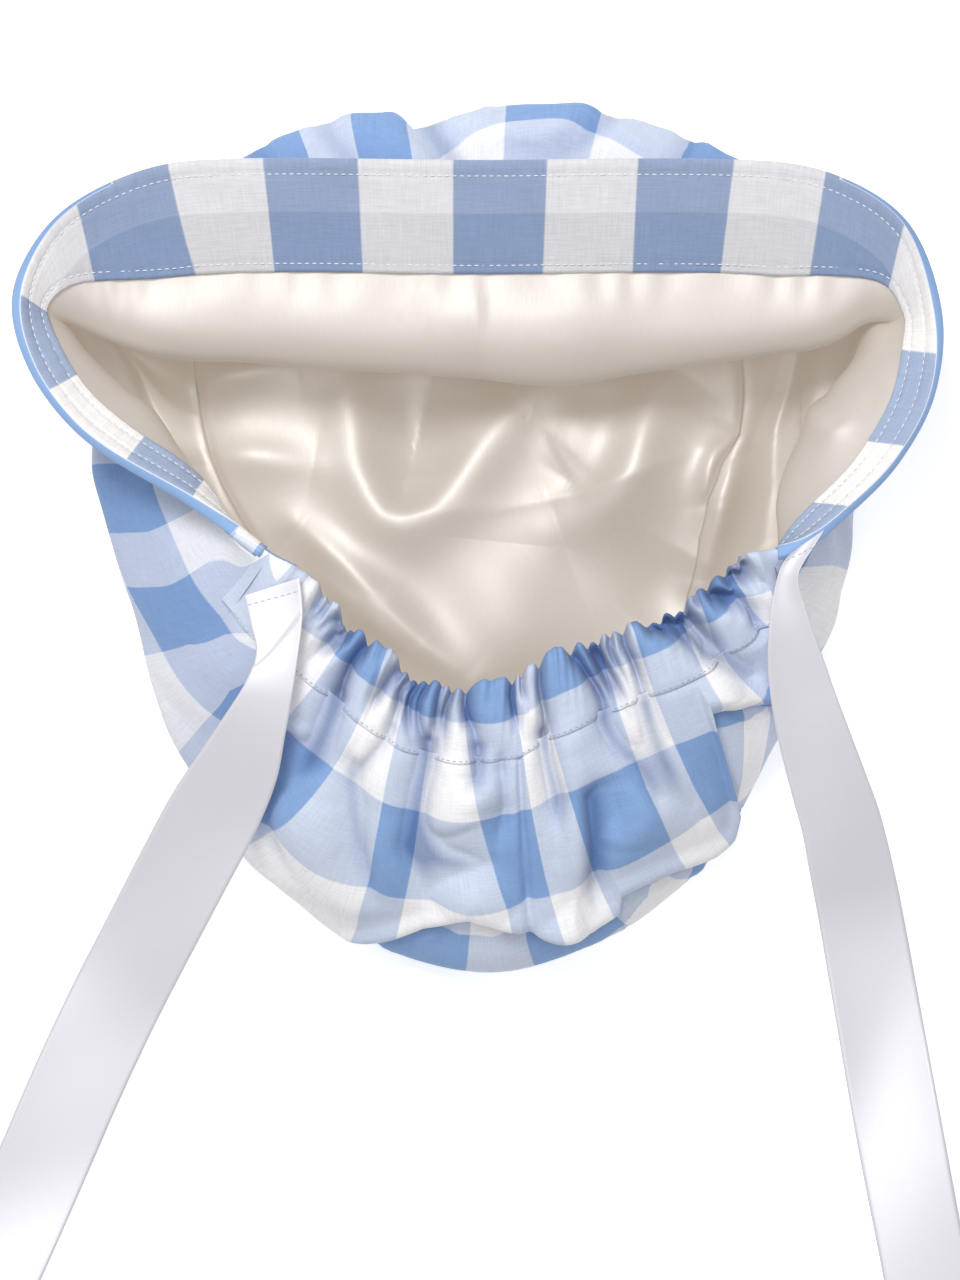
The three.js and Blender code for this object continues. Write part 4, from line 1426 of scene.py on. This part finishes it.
@dataclass
class Lining:
    """The ivory satin inside: the band's lining and the crown's."""

    shell: Shell
    finishes: Finishes
    satin: float = 0.5

    def seam_down(self, sections: Sections) -> np.ndarray:
        """Length from the rim to the lining's own crown seam, which has slid inwards at the sides.

        Args:
            sections: The wall's sections.

        Returns:
            One length per station.
        """
        girth = sections.form.girth.at(sections.stations)
        heading = np.degrees(np.arctan2(girth[:, 1], girth[:, 0])) % 360
        seam = sections.seam.copy()
        for table in LINING_SEAMS:
            angle, radius = np.array(table).T
            turned = (heading - angle.mean() + 180) % 360 - 180 + angle.mean()
            share = ease(angle[0] - 14, angle[0], turned) * (1 - ease(angle[-1], angle[-1] + 14, turned))
            seam += share * (sections.mark(HUB) - np.interp(turned, angle, radius) - sections.seam)
        return seam

    def floor_lift(self, sections: Sections, down: np.ndarray, point: np.ndarray) -> np.ndarray:
        """How high the satin lies over the crown, with its folds.

        Args:
            sections: The wall's sections.
            down: Lengths of cloth from the rim, a row per station.
            point: The places, in millimetres.

        Returns:
            The heights in millimetres.
        """
        x, y = point[..., 0], point[..., 1]
        folds = sum(fold.rise(x, y) for fold in CROWN_FOLDS)
        waves = 0.5 * Wrinkles(SEED + 5, 34, 70).height(x, y) + 0.8
        inward = ease(0, 22, down - sections.mark(FOOT)[:, None])
        return (folds + np.maximum(waves, 0) * 1.2 + 1.5) * inward

    def band_lining(self) -> bpy.types.Object:
        """The satin from under the hem down to the crown lining's seam.

        Returns:
            The lining's object.
        """
        form = self.shell.form
        stations = np.linspace(0, STATIONS, 460, endpoint=False)
        sections = form.sections(stations)
        column = stations[:, None]
        inside = (stations >= form.casing_from) & (stations <= form.casing_to)
        start = np.where(inside, form.casing_width + 0.3, form.facing_width(stations) - 1.5)[:, None]
        seam = self.seam_down(sections)[:, None]
        down = start + (seam - start) * np.linspace(0, 1, 80)
        front = 1 - ease(4.2, 6.0, np.minimum(column, STATIONS - column))
        reach = down - start
        puff = 3.6 * np.sin(np.pi * np.clip(reach / 38, 0, 1)) ** 1.3 * front
        pleat = np.sin(column * 2 * math.pi * 1.9 + 1.4 * np.sin(column * 3.1))
        pleats = 0.2 * pleat * bump(2, 7, reach) * front
        crumple = Wrinkles(SEED + 2, 30, 70).height(column * 21.0, down) * 0.7 * ease(2, 14, reach)
        crumple = crumple * np.where(inside[:, None], 0.2, 1.0)
        seam_line = -1.1 * bump(0.62, 0.022, column) * front * ease(1, 5, reach)
        folds = sum(fold.rise(column * form.station_length, down) for fold in WALL_FOLDS)
        folds = folds * ease(1, 12, reach)
        away = np.maximum(puff + pleats + crumple + seam_line + folds, -0.1)
        low = -form.inside - self.satin - away
        inner, outer = self.shell.layer(sections, down, low, low + self.satin)
        lift = self.floor_lift(sections, down, outer)
        dip = 1 - 0.16 * bump(0, 1.6, seam - down)
        for face in (inner, outer):
            face[..., 2] += lift * dip
        per_station = 0.8
        weave = np.stack([np.broadcast_to(column * per_station, down.shape), down / CHECK], axis=-1)
        return Cloth("band_lining_satin", inner, outer, weave, Closure.ROUND,
                     period=STATIONS * per_station).build()

    def crown_lining(self) -> bpy.types.Object:
        """The big satin oval in the middle, with its deep soft folds.

        Returns:
            The lining's object.
        """
        form = self.shell.form
        stations = np.linspace(0, STATIONS, 420, endpoint=False)
        sections = form.sections(stations)
        seam, end = self.seam_down(sections)[:, None] + 0.04, sections.mark(HUB)[:, None]
        down = seam + (end - seam) * np.linspace(0, 1, 110)
        low = -form.inside - self.satin - 0.1
        inner, outer = self.shell.layer(sections, down, low, low + self.satin)
        lift = self.floor_lift(sections, down, outer)
        dip = 1 - 0.16 * bump(0, 1.6, down - seam)
        for face in (inner, outer):
            face[..., 2] += lift * dip
            face[:, -1] = face[:, -1].mean(axis=0)
        weave = inner[..., :2] / CHECK
        return Cloth("crown_lining_satin", inner, outer, weave, Closure.ROUND, pole=True).build()

    def build(self) -> dict[str, bpy.types.Object]:
        """Builds both pieces and dresses them.

        Returns:
            The pieces by name.
        """
        pieces = {"band_lining": self.band_lining(), "crown_lining": self.crown_lining()}
        for piece in pieces.values():
            piece.data.materials.append(self.finishes.satin)
        return pieces


@dataclass
class Tie:
    """A satin ribbon tie.

    Attributes:
        name: Its piece's name.
        rows: Its course: x, y, the direction of its width in degrees, and its width.
        finishes: The materials.
        clear: Space between it and the cloth below.
        thick: Its thickness.
        steps: Places along it.
        across: Places across it.
        ribbon: Its full width, where it lies flat.
        steepest: The most that it falls per millimetre.
        near: Length over which its height is evened out first.
        smoothing: Rounds of smoothing of its height.
        clamped: How many of the last rounds keep it over the cloth.
        phase: Where its soft waves start.
        fold_at: Length from its start to where its end is folded over, or 0.
        fold_slant: How far the fold runs askew.
        surface: Points of its upper face, once it is laid.
    """

    name: str
    rows: tuple[Row, ...]
    finishes: Finishes
    clear: float = 0.5
    thick: float = 0.4
    steps: int = 300
    across: int = 21
    ribbon: float = 25.0
    steepest: float = 0.6
    near: float = 6.0
    smoothing: int = 300
    clamped: int = 19
    phase: float = 0.0
    fold_at: float = 0.0
    fold_slant: float = 0.0
    surface: np.ndarray = field(init=False)

    def build(self, under: list[bpy.types.Object]) -> bpy.types.Object:
        """Lays the ribbon over the cap and down to the table.

        Args:
            under: The pieces that it may lie on.

        Returns:
            The ribbon's object.
        """
        table = np.array(self.rows, float)
        place = np.linspace(0, len(table) - 1, self.steps)
        x, y, angle, width = (smooth_read(table[:, k], place) for k in range(4))
        angle = np.radians(angle)
        direction = np.stack([np.cos(angle), np.sin(angle)], axis=1)
        sides = np.linspace(-0.5, 0.5, self.across)
        reach = sides[None, :, None] * width[:, None, None]
        plan = np.stack([x, y], axis=1)[:, None] + direction[:, None] * reach
        run = np.concatenate([[0], np.cumsum(np.hypot(np.diff(x), np.diff(y)))])
        height = self.fall(self.support(plan, under).max(axis=1), run)
        lean = run[:, None] + 26 * sides[None, :]
        swell = 1.9 * np.sin(lean / 17.0 + self.phase) + 0.25 * np.sin(lean / 8.3 + 2 * self.phase)
        curl = (sides[None, :] * 2) ** 2 * 0.5 * (1 + np.sin(run / 23.0 + 2))[:, None]
        z = height[:, None] + (2.9 + swell) * ease(2, 30, run)[:, None] + curl
        z += (0.12 * (self.ribbon - width))[:, None] * (sides[None, :] + 0.5)
        if self.fold_at:
            z += 0.9 * ease(-0.4, 0.4, run[:, None] - self.fold_at - self.fold_slant * sides[None, :])
        low = np.concatenate([plan, z[..., None]], axis=2)
        high = low + (0, 0, self.thick)
        self.surface = high
        lengths = (sides * width[:, None], run[:, None])
        weave = np.stack([np.broadcast_to(length, z.shape) for length in lengths], axis=-1) / CHECK
        piece = Cloth(self.name + "_satin", high, low, weave).build()
        piece.data.materials.append(self.finishes.ribbon)
        return piece

    def fall(self, ridge: np.ndarray, run: np.ndarray) -> np.ndarray:
        """The ribbon's height along its run, as a soft fall from the cloth to the table.

        Args:
            ridge: The least height that each step may have.
            run: Each step's length from the ribbon's start.

        Returns:
            One height per step.
        """
        gap = np.abs(run[:, None] - run[None, :])
        height = np.maximum((ridge[None, :] - self.steepest * gap).max(axis=1), 0)
        height = np.where(gap < self.near, height[None, :], 0).max(axis=1)
        for count in range(self.smoothing):
            height[1:-1] = (height[:-2] + 2 * height[1:-1] + height[2:]) / 4
            if count >= self.smoothing - self.clamped:
                height = np.maximum(height, ridge)
        return height

    def support(self, plan: np.ndarray, under: list[bpy.types.Object]) -> np.ndarray:
        """Height of whatever is highest under each place.

        Args:
            plan: The places by step and side, in millimetres.
            under: The pieces to look for.

        Returns:
            Heights in millimetres, with the space that the ribbon keeps.
        """
        trees = [BVHTree.FromObject(piece, bpy.context.evaluated_depsgraph_get()) for piece in under]
        out = np.zeros(plan.shape[:2])
        for i in range(plan.shape[0]):
            for j in range(0, plan.shape[1], 4):
                start = Vector((plan[i, j, 0] * MM, plan[i, j, 1] * MM, 0.2))
                hits = [tree.ray_cast(start, Vector((0, 0, -1)))[0] for tree in trees]
                out[i, j] = max([hit.z / MM + self.clear for hit in hits if hit] + [0.0])
        return out


def smooth_read(column: np.ndarray, place: np.ndarray) -> np.ndarray:
    """Reads a column of a table at fractional rows, smoothly.

    Args:
        column: The column.
        place: The rows, which may lie between two.

    Returns:
        The values.
    """
    last = len(column) - 1
    i = np.clip(place.astype(int), 0, last - 1)
    t = place - i
    before, after = column[np.maximum(i - 1, 0)], column[np.minimum(i + 2, last)]
    here, there = column[i], column[i + 1]
    low, high = (there - before) / 2, (after - here) / 2
    return (here * (1 + 2 * t) * (1 - t) ** 2 + low * t * (1 - t) ** 2
            + there * t * t * (3 - 2 * t) + high * t * t * (t - 1))


@dataclass
class StitchRow:
    """A row of stitches in the cloth."""

    name: str
    finishes: Finishes
    length: float = 1.35
    pitch: float = 1.95
    radius: float = 0.17
    # Whether the stitches wear the blue-grey thread that paints them as shaded
    blue: bool = False

    def build(self, path: np.ndarray) -> bpy.types.Object:
        """Sews along a path of points in millimetres.

        Args:
            path: The points, close together.

        Returns:
            All the row's stitches as one object.
        """
        bpy.ops.object.select_all(action="DESELECT")
        bpy.ops.mesh.primitive_uv_sphere_add(segments=6, ring_count=5, radius=0.5)
        stitch = bpy.context.object
        bpy.ops.object.mode_set(mode="EDIT")
        bpy.ops.mesh.select_all(action="SELECT")
        bpy.ops.transform.resize(value=(2 * self.radius, 2 * self.radius, self.length))
        bpy.ops.object.mode_set(mode="OBJECT")
        shape = np.array([vertex.co[:] for vertex in stitch.data.vertices])
        faces = [tuple(face.vertices) for face in stitch.data.polygons]
        bpy.data.objects.remove(stitch)
        run = np.concatenate([[0], np.cumsum(np.linalg.norm(np.diff(path, axis=0), axis=1))])
        middles = np.arange(self.pitch / 2, run[-1], self.pitch)
        points, polygons = [], []
        for number, middle in enumerate(middles):
            start, end = (
                np.array([np.interp(middle + side * self.length / 2, run, path[:, k]) for k in range(3)])
                for side in (-1, 1))
            centre, along = (start + end) / 2, end - start
            turn = Vector(along).to_track_quat("Z", "Y").to_matrix()
            placed = shape @ np.array(turn).T + centre
            points.append(placed)
            polygons += [tuple(index + number * len(shape) for index in face) for face in faces]
        mesh = bpy.data.meshes.new(self.name)
        mesh.from_pydata((np.concatenate(points) * MM).tolist(), [], polygons)
        mesh.shade_smooth()
        piece = bpy.data.objects.new(self.name, mesh)
        bpy.context.scene.collection.objects.link(piece)
        piece.data.materials.append(self.finishes.shadowed_thread if self.blue else self.finishes.thread)
        return piece


@dataclass
class Stitching:
    """Every visible row of stitches."""

    shell: Shell
    finishes: Finishes

    def path(self, stations: np.ndarray, down: np.ndarray, away: np.ndarray | float) -> np.ndarray:
        """A path on the wall.

        Args:
            stations: The stations that it runs through.
            down: Its length from the rim at each.
            away: Its distance outward from the wall's middle.

        Returns:
            Its points in millimetres.
        """
        sections = self.shell.form.sections(stations)
        grid = down[:, None]
        point, normal = sections.points(grid), sections.normals(np.maximum(grid, 1.0))
        return (point + normal * np.broadcast_to(away, len(stations))[:, None, None])[:, 0]

    def build(self) -> list[bpy.types.Object]:
        """Sews the hem's two rows and the casing's lower row.

        Returns:
            The rows.
        """
        form = self.shell.form
        hem = np.linspace(form.casing_to + 0.1, STATIONS + form.casing_from - 0.1, 900)
        width = form.facing_width(hem)
        casing = np.linspace(form.casing_from + 0.1, form.casing_to - 0.1, 900)
        down = np.full_like(casing, form.casing_width - 0.5)
        out = form.ruffle(casing[:, None], down[:, None])[:, 0]
        upper, lower = self.shell.hem_stitches
        on_hem, on_casing = -1.85, 2.1
        small = StitchRow("casing_stitches", self.finishes, length=0.9, pitch=1.7, radius=0.15, blue=True)
        return [
            StitchRow("hem_upper_stitches", self.finishes).build(
                self.path(hem, np.full_like(hem, upper), on_hem)),
            StitchRow("hem_lower_stitches", self.finishes).build(self.path(hem, width - lower, on_hem)),
            small.build(self.path(casing, down, out + on_casing)),
        ]

    def tie_rows(self, tie: Tie) -> list[bpy.types.Object]:
        """Sews a ribbon's two woven edges and the row across its sewn end.

        Args:
            tie: The ribbon, already laid.

        Returns:
            The rows.
        """
        rows = []
        for side, column in (("a", 1), ("b", -2)):
            edge = StitchRow(f"{tie.name}_edge_{side}", self.finishes, length=0.7, pitch=1.3, radius=0.10)
            rows.append(edge.build(tie.surface[3:, column] + (0, 0, 0.02)))
        end = StitchRow(
            f"{tie.name}_end_stitches", self.finishes, length=1.2, pitch=1.8, radius=0.13, blue=True)
        rows.append(end.build(tie.surface[9] + (0, 0, 0.05)))
        return rows


@dataclass
class Studio:
    """A pale table, soft light and the camera straight over the cap."""

    height: float = 1.2
    millimetres_per_pixel: float = 0.275
    frame_pixels: float = 1280.0
    aim_y: float = -27.5
    sensor: float = 36.0

    def build(self) -> None:
        """Makes the table, the lights, the world and the camera."""
        self.table()
        self.world()
        self.area("key", (-0.30, 0.55, 1.30), 0.42, 13.5)
        self.area("overhead", (0.10, -0.10, 1.5), 1.0, 7.2)
        camera = bpy.data.cameras.new("camera")
        camera.sensor_width = self.sensor
        camera.lens = self.sensor * self.height / (self.millimetres_per_pixel * self.frame_pixels * MM)
        holder = bpy.data.objects.new("camera", camera)
        holder.location = (0, self.aim_y * MM, self.height)
        bpy.context.scene.collection.objects.link(holder)
        bpy.context.scene.camera = holder
        bpy.context.scene.view_settings.view_transform = "Standard"

    def table(self) -> None:
        """The pale plain surface."""
        size = 4.0
        bpy.ops.object.select_all(action="DESELECT")
        bpy.ops.mesh.primitive_plane_add(size=size, location=(0, 0, -0.0003))
        table = bpy.context.object
        table.name = "table_top"
        material, nodes, shader = new_material("pale_table")
        place = nodes.add("TexCoord").outputs["Object"]
        pale, paler = (0.90, 0.90, 0.90, 1), (0.92, 0.92, 0.92, 1)
        nodes.feed(shader["Base Color"], nodes.mix(nodes.noise(place, 3.0), pale, paler))
        shader["Roughness"].default_value = 0.9
        shader["Emission Color"].default_value = (1, 1, 1, 1)
        shader["Emission Strength"].default_value = 0.42
        table.data.materials.append(material)

    def world(self) -> None:
        """Even light from all round."""
        world = bpy.data.worlds.new("studio")
        world.use_nodes = True
        background = world.node_tree.nodes["Background"].inputs
        background["Color"].default_value = (1.0, 1.0, 1.0, 1)
        background["Strength"].default_value = 0.32
        bpy.context.scene.world = world

    def area(self, name: str, place: tuple[float, float, float], size: float, power: float) -> None:
        """A square soft light aimed at the cap.

        Args:
            name: The light's name.
            place: Where it hangs, in metres.
            size: The length of its side.
            power: Its power in watts.
        """
        light = bpy.data.lights.new(name, "AREA")
        light.size, light.energy = size, power
        lamp = bpy.data.objects.new(name, light)
        lamp.location = place
        lamp.rotation_euler = (-Vector(place)).to_track_quat("-Z", "Y").to_euler()
        bpy.context.scene.collection.objects.link(lamp)


LEFT_TIE: tuple[Row, ...] = (
    (-54.6, -13.5, 18, 15.5), (-53.4, -22, 10, 14), (-53.2, -31, 0, 11.2), (-55.4, -40, -10, 12.8),
    (-59.3, -50, -17, 16.8), (-64, -61, -22, 21.5), (-71, -73.5, -25, 24.5), (-81, -91.5, -27, 25),
    (-90.5, -109, -28, 25),
    (-100, -127, -27, 25), (-109.5, -147, -25, 25), (-118.5, -167.5, -24, 25), (-127, -187, -24, 25),
    (-134.5, -204, -24, 25), (-142, -221, -24, 25),
)
RIGHT_TIE: tuple[Row, ...] = (
    (85.9, -1.7, 36, 10.8), (81, -10.5, 12, 5.6), (81.4, -20.4, 4, 9.6), (82.8, -29.7, 7, 13.6),
    (84.8, -38.8, 12, 16.2), (87.4, -48.1, 15, 18), (90.6, -57.7, 19, 19.4), (94, -67.3, 20, 20.6),
    (97.4, -76.8, 18, 21.6), (100.4, -88, 14, 22.6), (104, -103, 12, 23.2), (109, -129, 11, 23.6),
    (114.5, -160, 11, 23.6), (118, -179, 11, 23.6), (121.5, -197, 11, 23.6), (126, -221, 11, 24),
)


@dataclass
class ScrubCap:
    """The whole cap: its pieces and what the frame is told about them."""

    finishes: Finishes
    form: WallForm = field(default_factory=WallForm)

    def build(self) -> None:
        shell = Shell(self.form, self.finishes)
        outside = shell.build()
        lining = Lining(shell, self.finishes).build()
        under = list(outside.values())
        left = Tie("ribbon_left", LEFT_TIE, self.finishes, phase=0.4, fold_at=15.0, fold_slant=-14.0)
        right = Tie("ribbon_right", RIGHT_TIE, self.finishes, phase=2.6)
        ties = {tie.name: tie.build(under) for tie in (left, right)}
        stitching = Stitching(shell, self.finishes)
        stitches = stitching.build() + [row for tie in (left, right) for row in stitching.tie_rows(tie)]
        slots = {**dict.fromkeys(lining, "satin"), **dict.fromkeys(ties, "ribbon")}
        for name, piece in {**outside, **lining, **ties}.items():
            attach(piece, "root")
            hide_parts(name)
            LOG.info("%s: %d faces", name, len(piece.data.polygons))
        for piece in stitches:
            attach(piece, "root")
            LOG.info("%s: %d faces", piece.name, len(piece.data.polygons))


def main() -> None:
    """Builds the studio and the cap."""
    logging.basicConfig(level=logging.INFO, format="%(name)s: %(message)s")
    Studio().build()
    ScrubCap(Finishes()).build()


if __name__ == "__main__":
    main()
